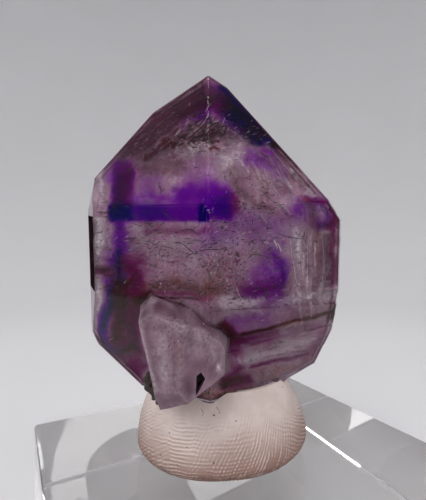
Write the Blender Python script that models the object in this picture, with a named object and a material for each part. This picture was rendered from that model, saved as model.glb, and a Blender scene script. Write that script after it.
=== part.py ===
import bpy
import bmesh
from math import cos, pi, radians, sin
from mathutils import Matrix, Vector

# Units
MM = 0.001

# Clear block: a two by two by one inch slab of cast acrylic, turned under the crystal
BLOCK_SIDE = 50.8 * MM
BLOCK_HEIGHT = 25.4 * MM
BLOCK_TURN = radians(28.2)
BLOCK_EDGE = 0.5 * MM

# Gap kept between pieces that touch, and size of the rough cube that a crystal is cut from
GAP = 0.3 * MM
ROUGH_SIZE = 200 * MM

# Ball of mineral tack, squashed on the block: widest radius, height and place
TACK_RADIUS = 11.7 * MM
TACK_HEIGHT = 10.6 * MM
TACK_PLACE = Vector((-4.2 * MM, 4.2 * MM, BLOCK_HEIGHT))
TACK_FOOT = 0.77
TACK_SHOULDER = 0.75
TACK_BELLY = 0.26
TACK_SEGMENTS = 56
TACK_RINGS = 16
# Slow dents from pressing the ball: share of the radius, dents round it, start and twist
TACK_DENTS = ((0.022, 2, 0.6, 0.0), (0.016, 3, 2.0, 2.0), (0.008, 5, 0.0, 4.0))
TACK_BULGE_POWER = 2.4
TACK_TAPER_POWER = 1.6

# Crystal head: middle of the prism and lean of its long axis
HEAD_PLACE = Vector((-5.85 * MM, 3.6 * MM, BLOCK_HEIGHT + 29.0 * MM))
HEAD_LEAN = Matrix.Rotation(radians(6.0), 3, "X") @ Matrix.Rotation(radians(-0.5), 3, "Y")

# Quartz faces as azimuth and slope in degrees and distance from the middle in mm.
# Azimuth 0 faces -Y and 90 faces +X; slope is how far the face looks up from level.
# A pyramid face looks up by PYRAMID_SLOPE and is given by the height where it meets the axis.
PYRAMID_SLOPE = 38.2
PRISM_FACES = {
    "front left": (-30, 0, 13.6),
    "front right": (30, 0, 13.5),
    "side right": (90, 0, 16.6),
    "back right": (150, 0, 13.0),
    "back left": (-150, 0, 13.0),
    "side left": (-90, 0, 16.35),
    "left bevel": (-66, 1, 16.05),
    "left upper bevel": (-70, 13, 16.95),
}
PYRAMID_TIPS = {
    "front left": (-30, 23.15),
    "front right": (30, 23.15),
    "side right": (90, 24.8),
    "back right": (150, 23.2),
    "back left": (-150, 23.15),
    "side left": (-90, 28.0),
}
UNDER_FACES = {
    "under side right": (80, -22, 20.0),
    "under side left": (-80, -20, 19.4),
    "under corner left": (-72, -45, 20.5),
    "under front left": (-30, -19, 14.5),
    "under front right": (30, -19, 14.45),
    "under back right": (150, -35, 18.5),
    "under back left": (-150, -35, 18.5),
    "bottom right": (60, -62, 21.2),
    "bottom": (0, -84, 19.0),
}

# Growth steps: the head again, a little fuller on one side, kept between two heights.
# Each is the side, how much fuller in mm, its lower and upper height and the tilt of its edges.
GROWTH_STEPS = (
    (30, 0.30, -9.0, -6.0, 6.0),
    (30, 0.20, -14.0, -11.0, -2.0),
    (-30, 0.15, 3.8, 9.0, 0.0),
    (150, 0.35, -5.0, 1.5, 2.0),
    (-150, 0.30, -9.0, -3.0, -3.0),
    (-150, 0.22, 1.0, 3.2, 1.5),
)
STEP_INSET = 0.05
STEP_BACK = 5.0

# Side crystal: small and blunt, grown on the lower front left of the head
SIDE_PLACE = Vector((-8.65 * MM, -10.8 * MM, BLOCK_HEIGHT + 18.0 * MM))
SIDE_FACES = {
    "front left": (-28, 6, 2.9),
    "front right": (32, 4, 2.9),
    "left": (-84, -14, 3.6),
    "right": (84, 0, 4.5),
    "upper right": (80, 27, 4.1),
    "shoulder right": (70, 48, 3.5),
    "top": (15, 72, 3.8),
    "top front": (-8, 40, 3.9),
    "top left": (-70, 40, 5.2),
    "lower right": (75, -54, 4.5),
    "bottom": (30, -66, 5.3),
    "bottom front": (-20, -30, 4.6),
    "back": (180, 0, 4.0),
}

# Broken stem under the head, pressed into the tack: six-sided
STEM_RADIUS = 5.6
STEM_BELOW = 24.0
STEM_ABOVE = -12.0
STEM_SHIFT = Vector((1.6 * MM, 0.0, 0.0))

# Open pit between the side crystal and the head: middle, half width, half height, depth and
# how much it narrows to the back; its outline is given in half widths and half heights
PIT_PLACE = Vector((-6.75 * MM, -12.4 * MM, BLOCK_HEIGHT + 15.3 * MM))
PIT_HALF_WIDTH = 0.55
PIT_HALF_HEIGHT = 1.25
PIT_DEPTH = 3.4
PIT_NARROWS = 0.7
PIT_OUTLINE = ((-0.6, 0.7), (0.35, 1.0), (1.25, 0.3), (0.1, -0.6), (-0.7, -1.0))

# Chips off the head's edges: place above the block, size in mm and turn of the cutter in degrees
CHIPS = (
    (Vector((-14.6, -0.6, 47.3)), 0.9, 35),
    (Vector((-18.9, -2.2, 42.0)), 0.7, 20),
    (Vector((11.0, -3.6, 26.0)), 0.8, 50),
    (Vector((11.3, -2.6, 19.8)), 1.1, 15),
    (Vector((-5.9, -12.75, 32.7)), 0.6, 45),
    (Vector((0.6, 1.0, 49.9)), 0.6, 30),
)

CHIP_STRETCH = (1.0, 0.8, 1.5)

# Dark crumbs caught under the left edge: place above the block and size in mm
CRUMBS = (
    (Vector((-12.5, -5.2, 11.6)), 1.25),
    (Vector((-11.7, -6.4, 10.9)), 0.95),
    (Vector((-13.1, -4.2, 12.4)), 0.9),
)
CRUMB_UNEVEN = 0.28
CRUMB_WAVE = 7.0


def clear_scene():
    for old in list(bpy.data.objects):
        bpy.data.objects.remove(old, do_unlink=True)


def material(name, colour, roughness, transmission=0.0, ior=1.5):
    made = bpy.data.materials.new(name)
    made.use_nodes = True
    shader = made.node_tree.nodes["Principled BSDF"]
    shader.inputs["Base Color"].default_value = (*colour, 1.0)
    shader.inputs["Roughness"].default_value = roughness
    shader.inputs["Metallic"].default_value = 0.0
    shader.inputs["Transmission Weight"].default_value = transmission
    shader.inputs["IOR"].default_value = ior
    return made


def add_object(name, mesh, finish=None):
    made = bpy.data.objects.new(name, mesh)
    bpy.context.scene.collection.objects.link(made)
    if finish is not None:
        mesh.materials.append(finish)
    return made


def mesh_from(bm, name):
    bmesh.ops.recalc_face_normals(bm, faces=bm.faces)
    mesh = bpy.data.meshes.new(name)
    bm.to_mesh(mesh)
    bm.free()
    return mesh


def direction(azimuth, slope):
    turn = radians(azimuth)
    rise = radians(slope)
    return Vector((sin(turn) * cos(rise), -cos(turn) * cos(rise), sin(rise)))


def cut_crystal(name, faces, place, lean, grow=0.0):
    # Cuts a flat-faced crystal out of a large block, one face after another
    bm = bmesh.new()
    bmesh.ops.create_cube(bm, size=ROUGH_SIZE)
    bmesh.ops.translate(bm, verts=bm.verts, vec=place)
    for azimuth, slope, distance in faces:
        outward = lean @ direction(azimuth, slope)
        point = place + outward * (distance * MM + grow)
        whole = bm.verts[:] + bm.edges[:] + bm.faces[:]
        cut = bmesh.ops.bisect_plane(bm, geom=whole, plane_co=point, plane_no=outward, clear_outer=True)
        rim = [part for part in cut["geom_cut"] if isinstance(part, bmesh.types.BMEdge)]
        if rim:
            bmesh.ops.edgeloop_fill(bm, edges=rim)
    return mesh_from(bm, name)


def pyramid_distance(height):
    return height * sin(radians(PYRAMID_SLOPE))


def head_faces(inset=0.0):
    level = list(PRISM_FACES.values()) + list(UNDER_FACES.values())
    tips = [(azimuth, PYRAMID_SLOPE, pyramid_distance(height)) for azimuth, height in PYRAMID_TIPS.values()]
    return [(azimuth, slope, distance - inset) for azimuth, slope, distance in level + tips]


def stepped_faces(side, fuller_by):
    # The head a hair smaller all round, but fuller on the prism face of one side and the face under it
    faces = []
    for azimuth, slope, distance in head_faces(STEP_INSET):
        raised = azimuth == side and -30 < slope < 30
        faces.append((azimuth, slope, distance + STEP_INSET + fuller_by if raised else distance))
    return faces


def stem_faces():
    sides = [(30 + 60 * step, 0, STEM_RADIUS) for step in range(6)]
    return sides + [(0, 90, STEM_ABOVE), (0, -90, STEM_BELOW)]


def as_guide(guide):
    guide.hide_render = True
    guide.display_type = "WIRE"
    return guide


def combine(target, guide, operation):
    step = target.modifiers.new(guide.name, "BOOLEAN")
    step.object = guide
    step.operation = operation
    step.solver = "EXACT"


def growth_step(index, side, fuller_by, low, high, tilt):
    # One raised band of a prism face, with slanting edges, just under the head's skin elsewhere
    faces = stepped_faces(side, fuller_by)
    faces.append((side + 90, 90 - tilt, high))
    faces.append((side - 90, -90 + tilt, -low))
    faces.append((side + 180, 0, -STEP_BACK))
    mesh = cut_crystal("growth_step_%d" % index, faces, HEAD_PLACE, HEAD_LEAN)
    return as_guide(add_object("growth_step_%d" % index, mesh))


def chip_cutter(index, place, size, turn):
    bm = bmesh.new()
    bmesh.ops.create_icosphere(bm, subdivisions=1, radius=size * MM)
    bmesh.ops.scale(bm, verts=bm.verts, vec=CHIP_STRETCH)
    bmesh.ops.rotate(bm, verts=bm.verts, matrix=Matrix.Rotation(radians(turn), 3, "Y"))
    bmesh.ops.translate(bm, verts=bm.verts, vec=place * MM + Vector((0, 0, BLOCK_HEIGHT)))
    return as_guide(add_object("chip_%d" % index, mesh_from(bm, "chip")))


def crumb(index, place, size):
    # An uneven lump with flat faces, its corners pushed in and out by a fixed rule
    bm = bmesh.new()
    bmesh.ops.create_icosphere(bm, subdivisions=1, radius=size * MM)
    for corner, vert in enumerate(bm.verts):
        vert.co *= 1.0 + CRUMB_UNEVEN * sin(corner * CRUMB_WAVE + index)
    bmesh.ops.translate(bm, verts=bm.verts, vec=place * MM + Vector((0, 0, BLOCK_HEIGHT)))
    return as_guide(add_object("crumb_%d" % index, mesh_from(bm, "crumb")))


def pit_cutter():
    # A narrow wedge, wide at the top and pointed at the bottom, run straight back
    bm = bmesh.new()
    front = []
    back = []
    for across, up in PIT_OUTLINE:
        x = across * PIT_HALF_WIDTH * MM
        z = up * PIT_HALF_HEIGHT * MM
        front.append(bm.verts.new(PIT_PLACE + Vector((x, -PIT_DEPTH * MM, z))))
        back.append(bm.verts.new(PIT_PLACE + Vector((x * PIT_NARROWS, PIT_DEPTH * MM, z * PIT_NARROWS))))
    bm.faces.new(front)
    bm.faces.new(reversed(back))
    count = len(PIT_OUTLINE)
    for step in range(count):
        after = (step + 1) % count
        bm.faces.new((front[after], front[step], back[step], back[after]))
    return as_guide(add_object("pit", mesh_from(bm, "pit")))


def acrylic_block(finish):
    bm = bmesh.new()
    bmesh.ops.create_cube(bm, size=1.0)
    bmesh.ops.scale(bm, verts=bm.verts, vec=(BLOCK_SIDE, BLOCK_SIDE, BLOCK_HEIGHT))
    block = add_object("acrylic_base", mesh_from(bm, "acrylic_base"), finish)
    block.location = (0, 0, BLOCK_HEIGHT / 2)
    block.rotation_euler = (0, 0, BLOCK_TURN)
    edge = block.modifiers.new("polished edge", "BEVEL")
    edge.width = BLOCK_EDGE
    edge.segments = 2
    return block


def tack_profile(height):
    # Radius at a height share of 0 to 1: quick bulge above the foot, slow taper to the top
    if height < TACK_BELLY:
        rise = height / TACK_BELLY
        return TACK_FOOT + (1 - TACK_FOOT) * (1 - (1 - rise) ** TACK_BULGE_POWER)
    fall = (height - TACK_BELLY) / (1 - TACK_BELLY)
    return 1 - (1 - TACK_SHOULDER) * fall ** TACK_TAPER_POWER


def tack_lump(azimuth, height):
    waves = [size * sin(count * azimuth + start + twist * height) for size, count, start, twist in TACK_DENTS]
    return 1 + sum(waves)


def tack_ball(finish):
    bm = bmesh.new()
    rings = []
    for level in range(TACK_RINGS + 1):
        height = level / TACK_RINGS
        ring = []
        for step in range(TACK_SEGMENTS):
            azimuth = 2 * pi * step / TACK_SEGMENTS
            radius = TACK_RADIUS * tack_profile(height) * tack_lump(azimuth, height)
            place = Vector((radius * cos(azimuth), radius * sin(azimuth), GAP + height * TACK_HEIGHT))
            ring.append(bm.verts.new(TACK_PLACE + place))
        rings.append(ring)
    for lower, upper in zip(rings, rings[1:]):
        for step in range(TACK_SEGMENTS):
            after = (step + 1) % TACK_SEGMENTS
            bm.faces.new((lower[step], lower[after], upper[after], upper[step]))
    bm.faces.new(list(reversed(rings[0])))
    bm.faces.new(rings[-1])
    mesh = mesh_from(bm, "mineral_tack")
    mesh.shade_smooth()
    mesh.set_sharp_from_angle(angle=radians(50))
    return add_object("mineral_tack", mesh, finish)


def crystal_group(finish):
    # Head, side crystal, stem and crumbs grown together as one solid
    upright = Matrix.Identity(3)
    head = add_object("amethyst_crystal", cut_crystal("head", head_faces(), HEAD_PLACE, HEAD_LEAN), finish)
    side_mesh = cut_crystal("side_crystal", SIDE_FACES.values(), SIDE_PLACE, upright)
    side = as_guide(add_object("side_crystal", side_mesh))
    stem_mesh = cut_crystal("stem", stem_faces(), HEAD_PLACE + STEM_SHIFT, HEAD_LEAN)
    stem = as_guide(add_object("stem", stem_mesh))
    for index, step in enumerate(GROWTH_STEPS):
        combine(head, growth_step(index, *step), "UNION")
    combine(head, stem, "UNION")
    combine(head, side, "UNION")
    for index, chip in enumerate(CHIPS):
        combine(head, chip_cutter(index, *chip), "DIFFERENCE")
    combine(head, pit_cutter(), "DIFFERENCE")
    for index, lump in enumerate(CRUMBS):
        combine(head, crumb(index, *lump), "UNION")
    return head


def press_into_tack(tack):
    # The crystal's underside and stem, a gap larger all round, leave their print in the tack
    upright = Matrix.Identity(3)
    prints = (
        ("head_print", head_faces(), HEAD_PLACE, HEAD_LEAN),
        ("stem_print", stem_faces(), HEAD_PLACE + STEM_SHIFT, HEAD_LEAN),
        ("side_print", SIDE_FACES.values(), SIDE_PLACE, upright),
    )
    for name, faces, place, lean in prints:
        guide = as_guide(add_object(name, cut_crystal(name, faces, place, lean, GAP)))
        combine(tack, guide, "DIFFERENCE")


def build():
    clear_scene()
    acrylic_block(material("clear acrylic", (0.93, 0.95, 0.96), 0.03, 1.0, 1.49))
    tack = tack_ball(material("white tack", (0.62, 0.53, 0.49), 0.75))
    press_into_tack(tack)
    crystal_group(material("amethyst", (0.33, 0.20, 0.36), 0.06, 0.9, 1.544))


build()
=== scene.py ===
import math
import random

import bmesh
import bpy
import numpy as np
from mathutils import Matrix, Vector, noise
from mathutils.bvhtree import BVHTree


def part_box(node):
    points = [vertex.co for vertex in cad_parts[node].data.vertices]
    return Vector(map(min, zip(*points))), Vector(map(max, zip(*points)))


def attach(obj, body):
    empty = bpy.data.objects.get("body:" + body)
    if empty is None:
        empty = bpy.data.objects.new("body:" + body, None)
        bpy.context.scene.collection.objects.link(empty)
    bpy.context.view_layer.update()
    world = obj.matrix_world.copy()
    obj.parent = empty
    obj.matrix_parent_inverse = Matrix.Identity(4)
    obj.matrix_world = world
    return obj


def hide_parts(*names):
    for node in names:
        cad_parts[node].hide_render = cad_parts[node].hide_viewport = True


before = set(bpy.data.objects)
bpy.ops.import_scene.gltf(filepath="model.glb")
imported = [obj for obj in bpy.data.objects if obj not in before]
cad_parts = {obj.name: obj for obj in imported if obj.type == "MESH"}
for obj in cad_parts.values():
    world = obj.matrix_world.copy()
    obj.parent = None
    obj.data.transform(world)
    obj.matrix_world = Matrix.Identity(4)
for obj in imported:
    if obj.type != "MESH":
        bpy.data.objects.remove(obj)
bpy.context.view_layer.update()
mm = 0.001
blockTop = Vector((0, 0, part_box("acrylic_base")[1][2]))
pieceGap = 0.3 * mm
random.seed(71)
print("frame loaded:", ", ".join(sorted(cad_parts)))


# Camera, close to the crystal and level with its middle
cameraPlan = {
    "place": Vector((-5.4, -50.3, 54.4)) * mm,
    "frame": (426, 500),  # pixels
    "lens": 377.0,  # pixels
    "horizon": 245.0,  # pixels from the top
    "sensor": 36.0,
    "near": 0.002,
    "far": 20.0,
}
cameraPitch = math.atan((cameraPlan["frame"][1] / 2 - cameraPlan["horizon"]) / cameraPlan["lens"])
cameraTurn = Matrix.Rotation(math.radians(90) - cameraPitch, 3, "X")


def makeCamera():
    data = bpy.data.cameras.new("camera")
    data.sensor_width = cameraPlan["sensor"]
    data.lens = cameraPlan["lens"] / max(cameraPlan["frame"]) * cameraPlan["sensor"]
    data.clip_start = cameraPlan["near"]
    data.clip_end = cameraPlan["far"]
    camera = bpy.data.objects.new("camera", data)
    bpy.context.scene.collection.objects.link(camera)
    camera.location = cameraPlan["place"]
    camera.rotation_euler = cameraTurn.to_euler()
    bpy.context.scene.camera = camera


def sightLine(px, py):
    # Direction from the camera through one pixel of the photograph's frame
    width, height = cameraPlan["frame"]
    across = (px - width / 2) / cameraPlan["lens"]
    down = (py - height / 2) / cameraPlan["lens"]
    return (cameraTurn @ Vector((across, -down, -1))).normalized()


def tone(red, green, blue):
    # Screen values from 0 to 255 as linear light
    shares = (red / 255, green / 255, blue / 255)
    return tuple(s / 12.92 if s < 0.04045 else ((s + 0.055) / 1.055) ** 2.4 for s in shares)


# Small helpers for meshes and nodes
def addPiece(name, mesh, material):
    piece = bpy.data.objects.new(name, mesh)
    bpy.context.scene.collection.objects.link(piece)
    mesh.materials.clear()
    mesh.materials.append(material)
    return piece


def dress(piece, replaced=None):
    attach(piece, "root")
    if replaced:
        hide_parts(replaced)


def toMesh(bm, name):
    bmesh.ops.recalc_face_normals(bm, faces=bm.faces)
    mesh = bpy.data.meshes.new(name)
    bm.to_mesh(mesh)
    bm.free()
    return mesh


def joinBits(name, bits):
    # Each bit is a list of points and a list of faces; all go into one mesh
    points = []
    faces = []
    for bitPoints, bitFaces in bits:
        start = len(points)
        points.extend(bitPoints)
        faces.extend(tuple(start + corner for corner in face) for face in bitFaces)
    mesh = bpy.data.meshes.new(name)
    mesh.from_pydata(points, [], faces)
    mesh.update()
    return mesh


def addBits(name, bits, material):
    # One piece made of many small bits
    dress(addPiece(name, joinBits(name, bits), material))


def writeValues(mesh, name, values, kind="FLOAT_COLOR"):
    # One row of values for each point of a mesh, for its material to read
    attribute = mesh.attributes.new(name, kind, "POINT")
    field = "vector" if kind == "FLOAT_VECTOR" else "color"
    attribute.data.foreach_set(field, values.astype(np.float32).ravel())


def newMaterial(name):
    material = bpy.data.materials.new(name)
    material.use_nodes = True
    tree = material.node_tree
    return material, tree, tree.nodes["Principled BSDF"]


def setInputs(node, values):
    for name, value in values.items():
        node.inputs[name].default_value = value


def addNode(tree, kind, place=(0, 0), **settings):
    node = tree.nodes.new(kind)
    node.location = place
    for name, value in settings.items():
        setattr(node, name, value)
    return node


def feed(tree, socket, value):
    # A number, a colour or another node's output
    if isinstance(value, (int, float)):
        socket.default_value = value
    elif isinstance(value, tuple):
        socket.default_value = (*value, 1.0)
    else:
        tree.links.new(value, socket)


def calc(tree, operation, *values, clamp=False):
    node = addNode(tree, "ShaderNodeMath", operation=operation, use_clamp=clamp)
    for socket, value in zip(node.inputs, values):
        feed(tree, socket, value)
    return node.outputs[0]


def blendColour(tree, share, first, second):
    node = addNode(tree, "ShaderNodeMix", data_type="RGBA")
    for index, value in zip((0, 6, 7), (share, first, second)):
        feed(tree, node.inputs[index], value)
    return node.outputs[2]


def tint(tree, colour, mask, strength, added):
    # Blends a colour in by a share of a mask
    return blendColour(tree, calc(tree, "MULTIPLY", mask, strength), colour, added)


def storedValues(tree, name):
    # The four values that writeValues left on the mesh
    stored = addNode(tree, "ShaderNodeAttribute", attribute_name=name)
    parts = addNode(tree, "ShaderNodeSeparateColor")
    feed(tree, parts.inputs[0], stored.outputs["Color"])
    return (*parts.outputs, stored.outputs["Alpha"])


def absorbLight(tree, look):
    # Takes up some light inside clear stone or plastic
    absorb = addNode(tree, "ShaderNodeVolumeAbsorption", (0, -300))
    setInputs(absorb, {"Color": (*look["absorb"], 1.0), "Density": look["absorbDensity"]})
    tree.links.new(absorb.outputs[0], tree.nodes["Material Output"].inputs["Volume"])


# Effects that several materials share
def makeGroup(name, inputs, outputs):
    group = bpy.data.node_groups.new(name, "ShaderNodeTree")
    for socketName, kind, value in inputs:
        socket = group.interface.new_socket(name=socketName, in_out="INPUT", socket_type=kind)
        if value is not None:
            socket.default_value = value
    for socketName, kind in outputs:
        group.interface.new_socket(name=socketName, in_out="OUTPUT", socket_type=kind)
    start = addNode(group, "NodeGroupInput", (-900, 0))
    end = addNode(group, "NodeGroupOutput", (900, 0))
    return group, start, end


def fibreGroup():
    # Streaky noise, pulled out along one direction
    group, start, end = makeGroup("fibres", (
        ("Place", "NodeSocketVector", None),
        ("Turn", "NodeSocketVector", (0.0, 0.0, 0.0)),
        ("Stretch", "NodeSocketVector", (1.0, 1.0, 1.0)),
        ("Scale", "NodeSocketFloat", 300.0),
        ("Detail", "NodeSocketFloat", 3.0),
        ("Low", "NodeSocketFloat", 0.4),
        ("High", "NodeSocketFloat", 0.6),
    ), (("Mask", "NodeSocketFloat"), ("Height", "NodeSocketFloat")))
    turned = addNode(group, "ShaderNodeMapping", (-700, 0))
    pulled = addNode(group, "ShaderNodeMapping", (-500, 0))
    streaks = addNode(group, "ShaderNodeTexNoise", (-300, 0))
    streaks.inputs["Roughness"].default_value = 0.6
    spread = addNode(group, "ShaderNodeMapRange", (0, 0), interpolation_type="SMOOTHSTEP")
    link = group.links.new
    link(start.outputs["Place"], turned.inputs["Vector"])
    link(start.outputs["Turn"], turned.inputs["Rotation"])
    link(turned.outputs[0], pulled.inputs["Vector"])
    link(start.outputs["Stretch"], pulled.inputs["Scale"])
    link(pulled.outputs[0], streaks.inputs["Vector"])
    link(start.outputs["Scale"], streaks.inputs["Scale"])
    link(start.outputs["Detail"], streaks.inputs["Detail"])
    link(streaks.outputs["Fac"], spread.inputs["Value"])
    link(start.outputs["Low"], spread.inputs["From Min"])
    link(start.outputs["High"], spread.inputs["From Max"])
    link(spread.outputs[0], end.inputs["Mask"])
    link(streaks.outputs["Fac"], end.inputs["Height"])
    return group


def speckGroup():
    # Tiny scattered specks
    group, start, end = makeGroup("specks", (
        ("Place", "NodeSocketVector", None),
        ("Scale", "NodeSocketFloat", 900.0),
        ("Size", "NodeSocketFloat", 0.12),
        ("Share", "NodeSocketFloat", 0.15),
    ), (("Mask", "NodeSocketFloat"),))
    cells = addNode(group, "ShaderNodeTexVoronoi", (-400, 0))
    near = addNode(group, "ShaderNodeMath", (-100, 100), operation="LESS_THAN")
    pick = addNode(group, "ShaderNodeSeparateColor", (-200, -150))
    chosen = addNode(group, "ShaderNodeMath", (100, -150), operation="LESS_THAN")
    both = addNode(group, "ShaderNodeMath", (300, 0), operation="MULTIPLY")
    link = group.links.new
    link(start.outputs["Place"], cells.inputs["Vector"])
    link(start.outputs["Scale"], cells.inputs["Scale"])
    link(cells.outputs["Distance"], near.inputs[0])
    link(start.outputs["Size"], near.inputs[1])
    link(cells.outputs["Color"], pick.inputs[0])
    link(pick.outputs[0], chosen.inputs[0])
    link(start.outputs["Share"], chosen.inputs[1])
    link(near.outputs[0], both.inputs[0])
    link(chosen.outputs[0], both.inputs[1])
    link(both.outputs[0], end.inputs["Mask"])
    return group


fibres = fibreGroup()
specks = speckGroup()


def ownPlace(tree):
    return addNode(tree, "ShaderNodeTexCoord", (-1400, 0)).outputs["Object"]


def useGroup(tree, group, place, **values):
    node = addNode(tree, "ShaderNodeGroup", node_tree=group)
    tree.links.new(place, node.inputs["Place"])
    for name, value in values.items():
        node.inputs[name].default_value = value
    return node


def bumpFrom(tree, shader, height, strength, distance):
    bump = addNode(tree, "ShaderNodeBump")
    bump.inputs["Strength"].default_value = strength
    bump.inputs["Distance"].default_value = distance
    tree.links.new(height, bump.inputs["Height"])
    tree.links.new(bump.outputs[0], shader.inputs["Normal"])


# Crystal shapes, cut from a cube one face after another.
# Faces are azimuth and slope in degrees and distance in mm; azimuth 0 looks to -Y, 90 to +X.
headPlan = {
    "place": blockTop + Vector((-5.85, 3.6, 29.0)) * mm,
    "lean": Matrix.Rotation(math.radians(6.0), 3, "X") @ Matrix.Rotation(math.radians(-0.5), 3, "Y"),
    "prism": (
        (-30, 0, 13.6), (30, 0, 13.5), (90, 0, 16.6), (150, 0, 13.0),
        (-150, 0, 13.0), (-90, 0, 16.35), (-66, 1, 16.05), (-70, 13, 16.95),
    ),
    "tipSlope": 38.2,
    "tips": ((-30, 23.15), (30, 23.15), (90, 24.8), (150, 23.2), (-150, 23.15), (-90, 28.0)),
    "under": (
        (80, -22, 20.0), (-80, -20, 19.4), (-72, -45, 20.5), (-30, -19, 14.5), (30, -19, 14.45),
        (150, -35, 18.5), (-150, -35, 18.5), (60, -62, 21.2), (0, -84, 19.0),
    ),
    "edgeWear": 0.02 * mm,
    "striae": 34,
    "striaeDepth": 0.02 * mm,
    "striaeStep": 0.06 * mm,
    "striaeReach": (-15.0, 12.0),  # lowest and highest, mm from the middle
    "striaeFade": (-1.0, 15.0, 3.0),  # middle, reach and soft end, mm
    "striaeCore": 1.0 * mm,  # nothing nearer to the axis than this moves
    "stemRadius": 5.6,
    "stemTop": -12.0,
    "stemFoot": 24.0,
    "stemShift": Vector((1.6, 0, 0)) * mm,
}
# Growth steps: side, how much fuller in mm, lower and upper height, tilt of the edges
growthSteps = (
    (30, 0.30, -9.0, -6.0, 6.0),
    (30, 0.20, -14.0, -11.0, -2.0),
    (-30, 0.15, 3.8, 9.0, 0.0),
    (150, 0.35, -5.0, 1.5, 2.0),
    (-150, 0.30, -9.0, -3.0, -3.0),
    (-150, 0.22, 1.0, 3.2, 1.5),
)
stepSkin = 0.05  # mm that a step is smaller than the head on its other sides
stepBack = 5.0  # mm from the axis to the inner side of a step
# Chips: place above the block in mm and size in mm
edgeChips = (
    ((-14.6, -0.6, 47.3), 0.9), ((-18.9, -2.2, 42.0), 0.7), ((11.0, -3.6, 26.0), 0.8),
    ((11.3, -2.6, 19.8), 1.1), ((-5.9, -12.75, 32.7), 0.6), ((0.6, 1.0, 49.9), 0.6),
    ((-8.9, -2.8, 50.6), 0.5), ((-11.6, -1.7, 49.1), 0.45), ((9.6, -3.4, 12.6), 0.7),
    ((-20.9, -5.0, 36.4), 0.5), ((-5.6, -10.2, 38.9), 0.35), ((3.2, -3.4, 46.6), 0.4),
    ((-21.6, 0.2, 15.8), 0.7), ((-14.3, -4.2, 11.2), 0.6), ((-2.0, -8.3, 10.6), 0.45),
    ((10.6, 9.5, 33.4), 0.6), ((-5.0, 18.3, 30.5), 0.5), ((-21.8, 9.0, 29.0), 0.6),
)
chipStretch = (1.0, 0.8, 1.5)
chipUneven = (0.35, 700)  # share of the size, and how fine the lumps are
chipTurn = 3.1  # radians for each mm of height
roughCube = 0.2  # metres, the cube that each stone is cut from


def facing(azimuth, slope):
    turn = math.radians(azimuth)
    rise = math.radians(slope)
    return Vector((math.sin(turn) * math.cos(rise), -math.cos(turn) * math.cos(rise), math.sin(rise)))


def cutStone(faces, place, lean, grow=0.0):
    bm = bmesh.new()
    bmesh.ops.create_cube(bm, size=roughCube)
    bmesh.ops.translate(bm, verts=bm.verts, vec=place)
    for azimuth, slope, distance in faces:
        outward = lean @ facing(azimuth, slope)
        point = place + outward * (distance * mm + grow)
        whole = bm.verts[:] + bm.edges[:] + bm.faces[:]
        cut = bmesh.ops.bisect_plane(bm, geom=whole, plane_co=point, plane_no=outward, clear_outer=True)
        rim = [part for part in cut["geom_cut"] if isinstance(part, bmesh.types.BMEdge)]
        if rim:
            bmesh.ops.edgeloop_fill(bm, edges=rim)
    bmesh.ops.recalc_face_normals(bm, faces=bm.faces)
    return bm


def headFaces(inset=0.0):
    rise = math.sin(math.radians(headPlan["tipSlope"]))
    tips = tuple((azimuth, headPlan["tipSlope"], height * rise) for azimuth, height in headPlan["tips"])
    faces = headPlan["prism"] + headPlan["under"] + tips
    return [(azimuth, slope, distance - inset) for azimuth, slope, distance in faces]


def headStone(faces):
    return cutStone(faces, headPlan["place"], headPlan["lean"])


def stemFaces():
    sides = [(30 + 60 * step, 0, headPlan["stemRadius"]) for step in range(6)]
    return sides + [(0, 90, headPlan["stemTop"]), (0, -90, headPlan["stemFoot"])]


def facePlanes(faces, place, lean, grow):
    # Outward directions and distances of a stone's faces, as arrays
    ways = [lean @ facing(azimuth, slope) for azimuth, slope, _ in faces]
    reach = [way.dot(place) + distance * mm + grow for way, (_, _, distance) in zip(ways, faces)]
    return np.array(ways), np.array(reach)


def growthStep(side, fuller, low, high, tilt):
    # The head a hair smaller, fuller on one side, kept between two heights
    faces = []
    for azimuth, slope, distance in headFaces(stepSkin):
        raised = azimuth == side and -30 < slope < 30
        faces.append((azimuth, slope, distance + stepSkin + fuller if raised else distance))
    faces += [(side + 90, 90 - tilt, high), (side - 90, -90 + tilt, -low), (side + 180, 0, -stepBack)]
    return headStone(faces)


def wearEdges(bm, width, segments=1):
    edges = [edge for edge in bm.edges if len(edge.link_faces) == 2]
    bmesh.ops.bevel(bm, geom=edges, offset=width, segments=segments, profile=0.6, affect="EDGES",
                    clamp_overlap=True)


def carveStriae(bm):
    # Fine steps across the crystal's long axis, strongest on the upright faces
    place = headPlan["place"]
    axis = headPlan["lean"] @ Vector((0, 0, 1))
    levels = sorted(random.uniform(*headPlan["striaeReach"]) * mm for _ in range(headPlan["striae"]))
    for level in levels:
        for height in (level, level + headPlan["striaeStep"]):
            whole = bm.verts[:] + bm.edges[:] + bm.faces[:]
            bmesh.ops.bisect_plane(bm, geom=whole, plane_co=place + axis * height, plane_no=axis)
    depths = [random.uniform(-1, 1) * headPlan["striaeDepth"] for _ in levels] + [0.0]
    middle, reach, end = (value * mm for value in headPlan["striaeFade"])
    for vert in bm.verts:
        height = (vert.co - place).dot(axis)
        band = sum(1 for level in levels if level + headPlan["striaeStep"] / 2 < height)
        outward = vert.co - place - axis * height
        if outward.length > headPlan["striaeCore"]:
            fade = min(1.0, max(0.0, (reach - abs(height - middle)) / end))
            vert.co += outward.normalized() * depths[band] * fade


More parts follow.
